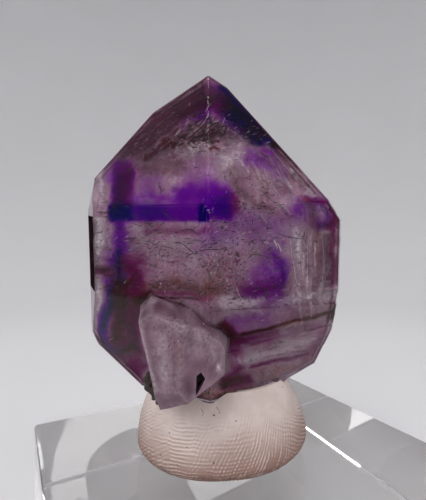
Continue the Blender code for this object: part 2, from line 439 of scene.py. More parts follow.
def applyAll(piece, operations):
    # Cuts or adds each shape and keeps the result as a plain mesh
    for index, (bm, operation) in enumerate(operations):
        tool = addPiece("tool%d" % index, toMesh(bm, "tool"), piece.data.materials[0])
        step = piece.modifiers.new("step%d" % index, "BOOLEAN")
        step.object = tool
        step.operation = operation
        step.solver = "EXACT"
    bpy.context.view_layer.update()
    graph = bpy.context.evaluated_depsgraph_get()
    shaped = bpy.data.meshes.new_from_object(piece.evaluated_get(graph))
    for step in list(piece.modifiers):
        tool = step.object
        piece.modifiers.remove(step)
        bpy.data.objects.remove(tool, do_unlink=True)
    piece.data = shaped


def chipTool(place, size):
    bm = bmesh.new()
    bmesh.ops.create_icosphere(bm, subdivisions=1, radius=size * mm)
    uneven, fine = chipUneven
    for vert in bm.verts:
        vert.co *= 1 + uneven * noise.noise(vert.co * fine + Vector(place))
    bmesh.ops.scale(bm, verts=bm.verts, vec=chipStretch)
    bmesh.ops.rotate(bm, verts=bm.verts, matrix=Matrix.Rotation(place[2] * chipTurn, 3, "Y"))
    bmesh.ops.translate(bm, verts=bm.verts, vec=blockTop + Vector(place) * mm)
    return bm


# Clear quartz of the outer crystal
quartzLook = {
    "ior": 1.544,
    "roughness": (0.02, 0.10),
    "gloss": 0.05,  # share of the mirror gloss seen straight on
    "absorb": (0.80, 0.60, 0.78),
    "absorbDensity": 20.0,
    "bump": 0.10,
}


def quartzMaterial():
    material, tree, shader = newMaterial("quartz")
    place = ownPlace(tree)
    wear = useGroup(tree, fibres, place, Scale=260.0, Detail=5.0, Low=0.45, High=0.75)
    low, high = quartzLook["roughness"]
    feed(tree, shader.inputs["Roughness"], calc(tree, "MULTIPLY_ADD", wear.outputs["Mask"], high - low, low))
    ripple = useGroup(tree, fibres, place, Scale=900.0, Stretch=(0.25, 0.25, 1.6))
    bumpFrom(tree, shader, ripple.outputs["Height"], quartzLook["bump"], 0.02 * mm)
    gloss = quartzLook["gloss"]
    setInputs(shader, {
        "Base Color": (1.0, 1.0, 1.0, 1.0),
        "Transmission Weight": 1.0,
        "IOR": quartzLook["ior"],
        "Specular Tint": (gloss, gloss, gloss, 1.0),
    })
    absorbLight(tree, quartzLook)
    return material


def makeHead():
    bm = headStone(headFaces())
    wearEdges(bm, headPlan["edgeWear"])
    carveStriae(bm)
    head = addPiece("crystalHead", toMesh(bm, "crystalHead"), quartzMaterial())
    stem = cutStone(stemFaces(), headPlan["place"] + headPlan["stemShift"], headPlan["lean"])
    operations = [(growthStep(*step), "UNION") for step in growthSteps]
    operations.append((stem, "UNION"))
    operations += [(chipTool(place, size), "DIFFERENCE") for place, size in edgeChips]
    applyAll(head, operations)
    dress(head, "amethyst_crystal")
    print("crystal head:", len(head.data.polygons), "faces")


makeCamera()
makeHead()


# Sight into the crystal: lines from the camera bend at the flat face that they enter
headTree = BVHTree.FromBMesh(headStone(headFaces()))
sightPlan = {
    "start": 0.01 * mm,  # just past the face, where the bent line starts
    "backGap": 0.3 * mm,  # kept free in front of the far face
    "nearest": 1.0 * mm,  # with the camera less than this in front of it, a face counts as turned away
    "rounds": 26,  # halvings in the search for the place where light leaves the stone
}


def insideAt(px, py, depth):
    # The point that shows at this pixel, depth mm under the face in front of it
    line = sightLine(px, py)
    hit, outward, _, _ = headTree.ray_cast(cameraPlan["place"], line)
    if hit is None:
        return None
    ior = quartzLook["ior"]
    share = -line.dot(outward)
    inward = line / ior + (share / ior - math.sqrt(1 - (1 - share ** 2) / ior ** 2)) * outward
    inward.normalize()
    reach = depth * mm / -inward.dot(outward)
    far = headTree.ray_cast(hit + inward * sightPlan["start"], inward)[0]
    if far is not None:
        reach = max(0.0, min(reach, (far - hit).length - sightPlan["backGap"]))
    return hit + inward * reach


def plainPixels(points):
    # Pixels where points in the open air show
    seen = (points - np.array(cameraPlan["place"])) @ np.array(cameraTurn)
    width, tall = cameraPlan["frame"]
    return (width / 2 - cameraPlan["lens"] * seen[:, 0] / seen[:, 2],
            tall / 2 + cameraPlan["lens"] * seen[:, 1] / seen[:, 2])


def seenPixels(points, outward, depth):
    # Pixels where points at one depth under a flat face show, or None for a face turned away
    eye = np.array(cameraPlan["place"])
    normal = np.array(outward)
    height = float((eye - points[0]) @ normal) - depth
    if height < sightPlan["nearest"]:
        return None
    foot = eye - normal * height
    offset = points + normal * depth - foot
    reach = np.linalg.norm(offset, axis=1)
    low = np.zeros_like(reach)
    high = reach.copy()
    for _ in range(sightPlan["rounds"]):
        middle = (low + high) / 2
        left = reach - middle
        outer = middle / np.sqrt(middle ** 2 + height ** 2)
        inner = quartzLook["ior"] * left / np.sqrt(left ** 2 + depth ** 2)
        short = outer < inner
        low = np.where(short, middle, low)
        high = np.where(short, high, middle)
    return plainPixels(foot + offset * (low / np.maximum(reach, 1e-9))[:, None])


# Soft noise over the picture plane, the same on every run
noiseSide = 64
noiseTable = np.random.default_rng(29).random((noiseSide, noiseSide))
noiseStep = {"across": 17.3, "up": 9.7, "octave": 5.1}  # how far a shift or an octave moves it


def cloud(x, y, size, shift=0.0, octaves=2):
    # Smooth uneven values from 0 to 1, with forms of about this size
    total = np.zeros_like(x)
    weight = 0.0
    for octave in range(octaves):
        share = 0.5 ** octave
        u = x / size * 2 ** octave + noiseStep["across"] * shift + noiseStep["octave"] * octave
        v = y / size * 2 ** octave + noiseStep["up"] * shift
        i = np.floor(u).astype(int)
        j = np.floor(v).astype(int)
        a = (u - i) ** 2 * (3 - 2 * (u - i))
        b = (v - j) ** 2 * (3 - 2 * (v - j))
        cells = [noiseTable[(i + di) % noiseSide, (j + dj) % noiseSide] for di in (0, 1) for dj in (0, 1)]
        left = cells[0] * (1 - b) + cells[1] * b
        right = cells[2] * (1 - b) + cells[3] * b
        total += share * (left * (1 - a) + right * a)
        weight += share
    return total / weight


def waves(px, py, size, reach, shifts):
    # Uneven shifts for the outlines of zones, in both directions
    return [reach * (2 * cloud(px, py, size, shift, 3) - 1) for shift in shifts]


# Colour zones in the crystal, placed by pixel. Layer 0 is in front and 1 in the middle.
def patch(ink, layer, strength, x, y, halfX, halfY, turn=0, soft=4, rough=2, roof=None, floor=None):
    # A rounded box; turn is in degrees and lifts its right end; roof and floor cut it off
    return {"ink": ink, "layer": layer, "strength": strength, "middle": (x, y), "half": (halfX, halfY),
            "turn": turn, "soft": soft, "rough": rough, "roof": roof, "floor": floor}


def stroke(ink, layer, strength, width, path, soft=2, rough=1.5):
    # A band along a line of pixels; width is from the middle to the edge
    return {"ink": ink, "layer": layer, "strength": strength, "path": path, "width": width,
            "soft": soft, "rough": rough, "roof": None, "floor": None}


strandPlan = {
    "parts": 3,
    "run": (0.4, 1.0),  # shortest and longest, as shares of the full length
    "bend": 0.6,  # turn from part to part, as a share of the sway
    "strength": (0.5, 1.0),
    "width": (0.4, 1.3),
    "soft": 1.3,
}


def strands(inks, layer, strength, count, middle, reach, angle, length, width=0.7, sway=8, seed=0):
    # Many thin bands in one part of the picture that run about the same way; angle lifts the right end
    picker = random.Random(seed)
    made = []
    for _ in range(count):
        x = picker.gauss(middle[0], reach[0] / 2)
        y = picker.gauss(middle[1], reach[1] / 2)
        path = []
        way = math.radians(picker.gauss(angle, sway))
        run = picker.uniform(*strandPlan["run"]) * length / strandPlan["parts"]
        for _ in range(strandPlan["parts"] + 1):
            path.append((x, y))
            x += run * math.cos(way)
            y -= run * math.sin(way)
            way += math.radians(picker.gauss(0, sway * strandPlan["bend"]))
        made.append(stroke(picker.choice(inks), layer, strength * picker.uniform(*strandPlan["strength"]),
                           width * picker.uniform(*strandPlan["width"]), path, strandPlan["soft"]))
    return tuple(made)


zones = (
    # dark tip and the smoky left pyramid face
    patch("smoke", 1, 0.88, 165, 121, 58, 13, turn=38, soft=8, rough=6),
    patch("plum", 1, 0.50, 186, 108, 30, 9, turn=38, soft=11, rough=7),
    patch("violet", 1, 0.60, 190, 112, 14, 9, turn=38, soft=10, rough=6),
    patch("soot", 1, 0.45, 192, 108, 16, 7, turn=38, soft=9, rough=6),
    patch("violet", 1, 0.85, 203, 104, 6, 18, soft=9, rough=4),
    patch("ink", 1, 0.70, 201, 97, 4, 9, turn=10, soft=7, rough=4),
    patch("smoke", 0, 0.75, 146, 132, 40, 7, turn=44, soft=8, rough=7),
    patch("soot", 0, 0.55, 160, 112, 52, 2, turn=38, soft=5, rough=3),
    stroke("soot", 0, 0.80, 2.5, ((144, 157), (164, 148), (183, 138), (202, 131), (224, 128)),
           soft=5, rough=6),
    stroke("smoke", 1, 0.85, 5.0, ((146, 156), (166, 146), (186, 136), (206, 130), (228, 130)),
           soft=7, rough=6),
    # right pyramid face: dark band along its edge and the wedge
    patch("plum", 1, 0.45, 217, 99, 12, 13, turn=-42, soft=9, rough=5),
    patch("violet", 1, 0.55, 214, 94, 8, 10, soft=9, rough=5),
    patch("violet", 1, 0.92, 234, 113, 20, 12, turn=-42, soft=8, rough=5, floor=146),
    patch("ink", 1, 0.60, 224, 100, 14, 6, turn=-42, soft=8, rough=4),
    patch("ink", 1, 0.99, 252, 127, 24, 9, turn=-44, soft=6, rough=3, floor=146),
    patch("ink", 0, 0.90, 254, 130, 18, 6, turn=-44, soft=6, rough=3, floor=146),
    patch("soot", 1, 0.42, 243, 118, 26, 7, turn=-43, soft=9, rough=6, floor=146),
    stroke("ink", 0, 0.97, 3.5, ((222, 88), (236, 101), (256, 120), (280, 146)), soft=3),
    stroke("soot", 0, 0.92, 2.4, ((276, 142), (292, 157), (310, 175), (330, 195)), soft=3),
    stroke("ink", 1, 0.90, 5.0, ((240, 106), (262, 128), (280, 146)), soft=5, rough=2),
    stroke("soot", 1, 0.85, 4.0, ((276, 144), (284, 152), (296, 164)), soft=5, rough=2),
    stroke("pale", 0, 0.60, 1.0, ((251, 129), (259, 137), (270, 147)), soft=1.5, rough=1),
    patch("smoke", 1, 0.60, 294, 168, 22, 4, turn=-46, soft=7, rough=6),
    patch("violet", 0, 0.62, 268, 151, 7, 3, turn=-20, soft=5, roof=146),
    patch("violet", 1, 0.40, 258, 158, 14, 9, turn=-10, soft=8, rough=6, roof=146),
    patch("violet", 1, 0.42, 280, 170, 10, 4, turn=-50, soft=7, rough=5),
    # purple band under the shoulder, its block and its two columns
    patch("violet", 1, 0.98, 160, 213, 50, 8, soft=4, rough=2, floor=222),
    patch("violet", 1, 0.80, 192, 194, 18, 9, turn=14, soft=11, rough=6),
    patch("violet", 1, 0.50, 156, 199, 24, 5, turn=5, soft=7, rough=6),
    patch("violet", 1, 0.18, 196, 176, 18, 12, soft=14, rough=8),
    patch("violet", 1, 0.99, 218, 206, 15, 13, soft=7, rough=3, floor=223),
    patch("violet", 1, 0.80, 220, 191, 10, 5, soft=8, rough=3),
    patch("plum", 1, 0.65, 236, 205, 3, 9, soft=6, rough=3),
    patch("ink", 1, 0.30, 222, 208, 8, 7, soft=8, rough=3, floor=222),
    patch("ink", 1, 0.28, 150, 213, 14, 6, soft=8, rough=5, floor=222),
    patch("violet", 1, 0.97, 123, 185, 9, 22, soft=6, rough=5),
    patch("violet", 1, 0.50, 110, 178, 5, 6, soft=6, rough=5),
    patch("plum", 1, 0.60, 124, 186, 8, 18, soft=8, rough=4),
    patch("ink", 1, 0.65, 122, 190, 5, 16, soft=7, rough=4),
    patch("violet", 1, 0.24, 148, 186, 11, 12, soft=9, rough=6),
    patch("ink", 1, 0.92, 121, 212, 9, 7, soft=6, floor=222),
    patch("ink", 1, 0.88, 203, 212, 3, 9, soft=4, floor=222),
    patch("violet", 1, 0.78, 121, 245, 7, 27, soft=7, rough=5),
    patch("violet", 1, 0.70, 112, 268, 6, 18, soft=7, rough=5),
    patch("ink", 1, 0.60, 119, 268, 3, 16, soft=5, rough=4),
    patch("smoke", 1, 0.92, 103, 271, 11, 4, soft=5, rough=4),
    patch("plum", 0, 0.70, 104, 272, 10, 4, soft=5, rough=4),
    stroke("violet", 1, 0.98, 5.5, ((113, 284), (110, 302), (105, 318), (103, 334), (110, 350)),
           soft=5, rough=3),
    stroke("ink", 1, 0.85, 2.5, ((112, 290), (112, 304), (106, 318), (103, 328)), soft=4, rough=3),
    stroke("ink", 0, 0.60, 2.0, ((112, 296), (108, 312), (104, 326)), soft=4, rough=3),
    patch("plum", 1, 0.45, 178, 229, 30, 2, soft=6, rough=5),
    patch("violet", 1, 0.32, 218, 236, 18, 10, soft=12, rough=8),
    patch("violet", 1, 0.24, 262, 226, 26, 13, soft=14, rough=8),
    # right middle: purple flame and the corner ring
    stroke("violet", 1, 0.80, 5.0, ((277, 252), (280, 266), (280, 280), (276, 292)), soft=11, rough=8),
    patch("violet", 1, 0.50, 264, 280, 13, 12, turn=35, soft=13, rough=9),
    patch("violet", 1, 0.60, 260, 290, 18, 4, turn=4, soft=7, rough=6),
    stroke("ink", 1, 0.25, 1.5, ((282, 262), (283, 276), (281, 288)), soft=5, rough=3),
    patch("plum", 1, 0.38, 258, 288, 24, 6, soft=9, rough=6),
    patch("violet", 1, 0.40, 297, 212, 5, 8, soft=9, rough=5),
    stroke("plum", 0, 0.80, 2.5, ((303, 201), (318, 200), (331, 205), (335, 217), (327, 225)),
           soft=5, rough=4),
    stroke("violet", 1, 0.75, 3.5, ((305, 203), (318, 201), (330, 207), (330, 219), (318, 224)),
           soft=5, rough=4),
    patch("soot", 0, 0.75, 333, 204, 3, 3, soft=4, rough=2),
    patch("plum", 0, 0.75, 333, 246, 3, 42, soft=5, rough=4),
    patch("smoke", 1, 0.60, 329, 262, 5, 30, turn=2, soft=6, rough=5),
    patch("pale", 0, 0.75, 321, 210, 2.5, 3, soft=4),
    patch("soot", 0, 0.50, 338, 245, 0.5, 48, soft=2, rough=1),
    patch("violet", 1, 0.30, 316, 212, 20, 12, soft=7, rough=5),
    # lower right bands
    patch("violet", 1, 0.20, 272, 305, 16, 4, turn=6, soft=7, rough=5),
    patch("violet", 1, 0.30, 248, 320, 22, 6, turn=8, soft=7, rough=5),
    patch("violet", 1, 0.28, 250, 335, 20, 6, turn=10, soft=5, rough=4),
    patch("plum", 1, 0.10, 262, 322, 34, 5, turn=12, soft=7, rough=5),
    patch("plum", 1, 0.58, 254, 337, 28, 5.5, turn=10.7, soft=4, rough=3),
    patch("umber", 1, 0.50, 312, 309, 18, 4, turn=12, soft=6, rough=5),
    patch("plum", 1, 0.25, 306, 326, 24, 3, turn=13, soft=5, rough=4),
    patch("plum", 1, 0.75, 235, 362, 5, 13, soft=8, rough=5),
    patch("plum", 1, 0.95, 236, 381, 14, 5, turn=8, soft=6, rough=4),
    patch("soot", 1, 0.45, 228, 381, 12, 3, turn=8, soft=6, rough=5),
    patch("umber", 1, 0.58, 290, 371, 34, 8, turn=14, soft=7, rough=6),
    patch("plum", 1, 0.32, 316, 346, 8, 22, turn=-20, soft=8, rough=6),
    patch("umber", 0, 0.75, 228, 394, 36, 5, turn=2, soft=5, rough=3),
    stroke("soot", 1, 0.92, 1.6, ((242, 334), (262, 329), (284, 323), (306, 318), (330, 311)), soft=2.2),
    stroke("soot", 0, 0.80, 1.4, ((280, 325), (304, 318), (332, 310)), soft=2.5),
    stroke("umber", 0, 0.60, 1.0, ((246, 337), (290, 325), (334, 312)), soft=2),
    stroke("plum", 1, 0.85, 1.4, ((252, 366), (280, 360), (308, 354)), soft=2),
    stroke("plum", 0, 0.70, 0.8, ((250, 368), (276, 362), (306, 356)), soft=1.5),
    patch("soot", 0, 0.97, 335, 311, 3, 9, turn=-8, soft=3),
    patch("soot", 1, 0.97, 333, 312, 4, 9, turn=-8, soft=3),
    patch("plum", 1, 0.95, 229, 334, 6, 13, turn=40, soft=6, rough=4),
    patch("soot", 1, 0.65, 226, 331, 4, 11, turn=40, soft=5, rough=4),
    patch("soot", 0, 0.50, 224, 328, 2, 10, turn=40, soft=4, rough=4),
    # lower left
    patch("plum", 1, 0.90, 132, 280, 9, 20, soft=9, rough=6),
    patch("plum", 1, 0.92, 138, 293, 12, 9, turn=10, soft=6, rough=5),
    patch("soot", 1, 0.70, 145, 300, 10, 6, turn=20, soft=5, rough=4),
    patch("plum", 1, 0.92, 134, 330, 7, 26, soft=7, rough=5),
    patch("soot", 1, 0.90, 121, 292, 5, 12, turn=-4, soft=6, rough=5),
    patch("plum", 1, 0.95, 122, 322, 8, 28, turn=-4, soft=5, rough=4),
    patch("soot", 1, 0.60, 121, 318, 3, 22, turn=-4, soft=5, rough=5),
    patch("soot", 0, 0.60, 121, 298, 2, 14, turn=-4, soft=4, rough=4),
    patch("plum", 1, 0.60, 130, 362, 18, 8, turn=-42, soft=6, rough=4),
    patch("violet", 1, 0.92, 113, 350, 12, 7, turn=-42, soft=6, rough=4),
    patch("soot", 0, 0.85, 128, 350, 2, 8, turn=-65, soft=4, rough=3),
    patch("soot", 0, 0.45, 119, 270, 1.5, 9, soft=3, rough=3),
    stroke("soot", 0, 0.80, 0.8, ((97, 336), (114, 356), (134, 377)), soft=1.6, rough=1),
    patch("plum", 1, 0.60, 168, 295, 44, 2, turn=-2, soft=5, rough=4),
    patch("umber", 1, 0.85, 184, 287, 38, 6, turn=-2, soft=8, rough=6),
    patch("smoke", 1, 0.40, 186, 288, 34, 5, soft=7, rough=6),
    stroke("soot", 0, 0.75, 0.7, ((142, 299), (160, 298), (198, 299)), soft=1.4, rough=1),
    stroke("umber", 0, 0.80, 1.2, ((174, 302), (192, 309), (206, 321), (216, 334)), soft=2.5, rough=3),
    stroke("pale", 0, 0.40, 1.0, ((180, 300), (200, 308), (214, 322)), soft=2.5, rough=3),
    # brown swirls
    patch("umber", 0, 0.85, 166, 168, 18, 4, turn=14, soft=6, rough=6),
    patch("smoke", 1, 0.60, 160, 166, 22, 5, turn=16, soft=9, rough=7),
    stroke("umber", 0, 0.75, 2.4, ((232, 163), (238, 186), (254, 203), (278, 212)), soft=4, rough=5),
    stroke("smoke", 1, 0.50, 3, ((234, 168), (242, 190), (260, 206)), soft=6, rough=5),
    patch("umber", 0, 0.60, 262, 182, 4, 15, turn=25, soft=7, rough=7),
    patch("umber", 0, 0.70, 296, 180, 12, 2, turn=-48, soft=4, rough=5),
    patch("smoke", 0, 0.50, 284, 172, 12, 2, turn=-48, soft=5, rough=5),
    stroke("umber", 0, 0.78, 2.4, ((306, 202), (314, 228), (319, 260), (317, 292)), soft=4, rough=5),
    stroke("smoke", 1, 0.55, 3, ((312, 210), (322, 250), (320, 290)), soft=6, rough=5),
    patch("umber", 1, 0.60, 216, 282, 8, 16, soft=9, rough=8),
    # cloudy light parts
    patch("pale", 0, 0.75, 227, 164, 8, 10, turn=20, soft=9, rough=8),
    patch("pale", 0, 0.55, 188, 153, 14, 3, turn=16, soft=7, rough=7),
    patch("pale", 0, 0.65, 246, 160, 6, 10, turn=35, soft=7, rough=7),
    patch("pale", 0, 0.50, 208, 254, 15, 2, turn=4, soft=5, rough=5),
    patch("pale", 0, 0.65, 294, 232, 7, 8, soft=8, rough=6),
    patch("pale", 0, 0.50, 300, 262, 4, 21, turn=8, soft=7, rough=7),
    stroke("pale", 0, 0.65, 2.0, ((280, 305), (300, 296), (320, 291), (338, 286)), soft=4, rough=4),
    patch("pale", 0, 0.45, 246, 300, 22, 2, turn=4, soft=6, rough=4),
    patch("pale", 1, 0.60, 264, 354, 32, 4, turn=10, soft=4, rough=3),
    patch("pale", 1, 0.65, 300, 342, 16, 4, turn=12, soft=5, rough=4),
    patch("pale", 0, 0.40, 235, 240, 20, 6, soft=9, rough=7),
    patch("pale", 0, 0.35, 180, 244, 20, 6, soft=9, rough=7),
    # pale along the left edge: painted light where the backdrop shows through the stone
    patch("pale", 0, 0.70, 101, 186, 3, 14, soft=5, rough=3),
    patch("pale", 0, 0.70, 101, 244, 5, 10, soft=5, rough=4),
    patch("pale", 0, 0.75, 101, 229, 5, 12, soft=4, rough=3),
    patch("pale", 0, 0.75, 98, 297, 3, 15, soft=4, rough=3),
    patch("pale", 0, 0.35, 300, 300, 26, 6, turn=10, soft=8, rough=6),
    patch("pale", 0, 0.55, 242, 305, 22, 8, turn=5, soft=8, rough=6),
    patch("pale", 0, 0.40, 282, 330, 22, 5, turn=12, soft=6, rough=5),
    patch("pale", 0, 0.35, 274, 380, 22, 5, turn=14, soft=6, rough=5),
    patch("pale", 0, 0.40, 296, 243, 9, 9, soft=8, rough=6),
    patch("pale", 0, 0.35, 298, 340, 20, 5, turn=12, soft=6, rough=5),
    patch("pale", 0, 0.25, 232, 240, 14, 8, soft=9, rough=6),
    # dense plain haze along the foot of the head and in its tip, which the middle veil doesn't reach
    patch("veil", 0, 0.96, 214, 394, 44, 9, turn=2, soft=5, rough=3),
    patch("veil", 0, 0.98, 211, 86, 10, 12, soft=5, rough=2),
)
zones += strands(("soot", "smoke", "soot", "smoke", "pale"), 0, 0.70, 120, (160, 125), (62, 30), 38, 26,
                 seed=3)
zones += strands(("umber", "pale", "smoke"), 0, 0.65, 70, (262, 178), (44, 34), -48, 24, sway=14, seed=4)
zones += strands(("umber", "pale", "smoke"), 0, 0.65, 80, (312, 250), (26, 50), -88, 34, sway=5, seed=5)
zones += strands(("plum", "umber", "pale"), 0, 0.50, 70, (150, 260), (50, 36), 2, 16, sway=12, seed=6)
zones += strands(("soot", "plum", "pale", "umber"), 0, 0.28, 80, (275, 340), (60, 50), 13, 44, sway=5,
                 seed=7)
zones += strands(("soot", "plum", "violet"), 0, 0.50, 26, (122, 320), (16, 50), -82, 22, seed=8)
zones += strands(("soot", "plum"), 0, 0.65, 30, (255, 125), (24, 24), -42, 24, seed=9)
zones += strands(("plum", "umber", "pale"), 0, 0.55, 70, (225, 270), (36, 30), 70, 10, sway=40, seed=10)
zones += strands(("pale", "umber", "smoke"), 0, 0.55, 70, (205, 150), (50, 22), 25, 12, sway=30, seed=11)
zones += strands(("soot", "smoke"), 0, 0.75, 26, (102, 246), (10, 60), 3, 9, sway=5, seed=12)
zones += strands(("soot", "smoke", "soot", "pale"), 0, 0.85, 90, (180, 141), (46, 12), 28, 9, sway=35,
                 seed=13)
inkOrder = ("violet", "ink", "plum", "umber", "soot", "smoke", "pale")
darkInks = ("violet", "ink", "plum", "soot")
hidingInks = (*darkInks, "smoke")
inkCover = {
    "violet": 0.98, "ink": 0.99, "plum": 0.97, "umber": 0.70, "soot": 0.98, "smoke": 0.85, "pale": 0.62,
}
inkPlan = {
    "waves": (13, 1.2, (1, 2)),  # size and reach of the waves in the outlines, in pixels, and their shifts
    "strongDark": 1.5,  # power that makes the dark inks stronger
    "paleLoss": 0.8,  # share of the pale ink that goes where the middle veil is dark
    "coverSize": 22,  # pixels
    "coverSpread": (0.2, 0.8),
    "roofEnd": 0.7,  # half of the pixels over which a roof and a floor cut a zone off
    "floorEnd": 2.2,
}


def smoothStep(low, high, value):
    share = np.clip((value - low) / (high - low), 0, 1)
    return share * share * (3 - 2 * share)


def zoneMask(zone, px, py, warpX, warpY):
    # Only points near the zone are worked out
    if "path" in zone:
        xs = [x for x, _ in zone["path"]]
        ys = [y for _, y in zone["path"]]
        reach = zone["width"] + zone["soft"] + zone["rough"] + 1
        box = (min(xs) - reach, max(xs) + reach, min(ys) - reach, max(ys) + reach)
    else:
        reach = math.hypot(*zone["half"]) + zone["soft"] + zone["rough"] + 1
        x, y = zone["middle"]
        box = (x - reach, x + reach, y - reach, y + reach)
    mask = np.zeros_like(px)
    near = np.flatnonzero((px > box[0]) & (px < box[1]) & (py > box[2]) & (py < box[3]))
    if not len(near):
        return mask
    x = px[near] + zone["rough"] * warpX[near]
    y = py[near] + zone["rough"] * warpY[near]
    if "path" in zone:
        away = np.full_like(x, 1e6)
        for (ax, ay), (bx, by) in zip(zone["path"], zone["path"][1:]):
            run = (bx - ax) ** 2 + (by - ay) ** 2
            along = np.clip(((x - ax) * (bx - ax) + (y - ay) * (by - ay)) / run, 0, 1)
            away = np.minimum(away, np.hypot(x - ax - along * (bx - ax), y - ay - along * (by - ay)))
        away -= zone["width"]
    else:
        turn = math.radians(zone["turn"])
        dx = x - zone["middle"][0]
        dy = y - zone["middle"][1]
        across = np.abs(dx * math.cos(turn) - dy * math.sin(turn)) - zone["half"][0]
        up = np.abs(dx * math.sin(turn) + dy * math.cos(turn)) - zone["half"][1]
        away = np.hypot(np.maximum(across, 0), np.maximum(up, 0)) + np.minimum(np.maximum(across, up), 0)
    part = 1 - smoothStep(-zone["soft"], zone["soft"], away)
    if zone["roof"] is not None:
        part = part * smoothStep(-inkPlan["roofEnd"], inkPlan["roofEnd"], py[near] - zone["roof"])
    if zone["floor"] is not None:
        part = part * smoothStep(-inkPlan["floorEnd"], inkPlan["floorEnd"], zone["floor"] - py[near])
    mask[near] = part * zone["strength"]
    return mask


# The sides and the back have the same kinds of zones, laid out round the stone as on a roll of paper
roundPlan = {
    "middle": (213, 245),  # where the middle of the front is on it, in units like pixels
    "scale": 10,  # units for 1 mm
    "radius": 13,  # mm
}


def hiddenZones():
    made = []
    picker = random.Random(41)
    for side in (-150, -90, 90, 150, 210):
        x = roundPlan["middle"][0] + roundPlan["scale"] * roundPlan["radius"] * math.radians(side)
        shift = random.uniform(-8, 8)
        wide = random.uniform(25, 60)
        tilt = picker.uniform(-5, 5)
        made += [
            patch("violet", 1, 0.88, x, 210 + shift, wide, 5, turn=tilt, soft=9, rough=10),
            patch("violet", 1, 0.55, x + shift * 3, 192 + shift, 36, 7, turn=8 + tilt, soft=14, rough=12),
            patch("ink", 1, 0.70, x + shift * 4, 211 + shift, 12, 4, turn=tilt, soft=8, rough=9),
            patch("violet", 1, 0.42, x + 50, 252 + shift, 5, 38, turn=2 * tilt, soft=12, rough=12),
            patch("plum", 1, 0.42, x - 20, 318 + shift, 44, 9, turn=12 + tilt, soft=14, rough=14),
            patch("soot", 1, 0.40, x + 24, 338 + shift, 30, 4, turn=12 + tilt, soft=10, rough=12),
            patch("smoke", 1, 0.85, x + 15, 118, 60, 16, turn=30, soft=14, rough=12),
            patch("violet", 1, 0.70, x - 10, 104, 30, 9, turn=-24, soft=12, rough=10),
            patch("umber", 0, 0.55, x - 35, 175 + shift, 22, 5, turn=20, soft=8, rough=9),
            patch("umber", 0, 0.45, x - 10, 262, 5, 30, turn=10, soft=7, rough=9),
            patch("pale", 0, 0.40, x + 8, 250, 22, 10, turn=10, soft=10, rough=9),
            patch("pale", 0, 0.40, x - 8, 160, 16, 10, turn=30, soft=10, rough=9),
            stroke("umber", 1, 0.60, 1.6, ((x - 50, 335), (x, 322 + shift), (x + 50, 318)), soft=3, rough=4),
        ]
        seed = picker.randrange(1000)
        made += strands(("soot", "smoke", "pale"), 0, 0.65, 40, (x, 135), (110, 50), 32, 40, 1.6, seed=seed)
        made += strands(("umber", "pale", "smoke"), 0, 0.60, 50, (x, 240), (120, 90), 84, 40, 1.5,
                        seed=seed + 1)
        made += strands(("plum", "umber", "pale"), 0, 0.50, 30, (x, 330), (120, 50), 12, 44, 1.6,
                        seed=seed + 2)
    return tuple(made)


roundZones = hiddenZones()

# Layers of veils, from the front: depth under the faces, cells on the faces that show and on the
# others, all in mm, least and most cover, cover along the rims and strength of the upright wisps
veilPlans = (
    {"name": "frontVeil", "depth": 0.17, "cell": 0.17, "far": 0.28,
     "cover": (0.0, 0.20), "rim": 0.85, "wisps": 0.3},
    {"name": "middleVeil", "depth": 0.9, "cell": 0.17, "far": 0.28,
     "cover": (0.45, 0.80), "rim": 0.90, "wisps": 0.25},
    {"name": "deepVeil", "depth": 3.6, "cell": 0.4, "far": 0.8,
     "cover": (0.85, 0.97), "rim": 0.0, "wisps": 0.1},
)
layerShift = 40.0  # moves the noise of each layer away from that of the others


# Painted shade: smoke ink along the rims beside the faces that are turned away, where the stone's edge looks
# dark
rimReach = (0.05 * mm, 0.7 * mm)
rimShadeInk = 0.7


def clipCell(cell, corners):
    # The part of a small flat cell inside a convex outline
    kept = cell
    for index, (ax, ay) in enumerate(corners):
        bx, by = corners[(index + 1) % len(corners)]
        sides = [(bx - ax) * (y - ay) - (by - ay) * (x - ax) for x, y in kept]
        cut = []
        for place, (x, y) in enumerate(kept):
            after = (place + 1) % len(kept)
            if sides[place] >= 0:
                cut.append((x, y))
            if (sides[place] > 0) != (sides[after] > 0) and sides[place] != sides[after]:
                share = sides[place] / (sides[place] - sides[after])
                cut.append((x + share * (kept[after][0] - x), y + share * (kept[after][1] - y)))
        kept = cut
        if len(kept) < 3:
            return []
    return kept


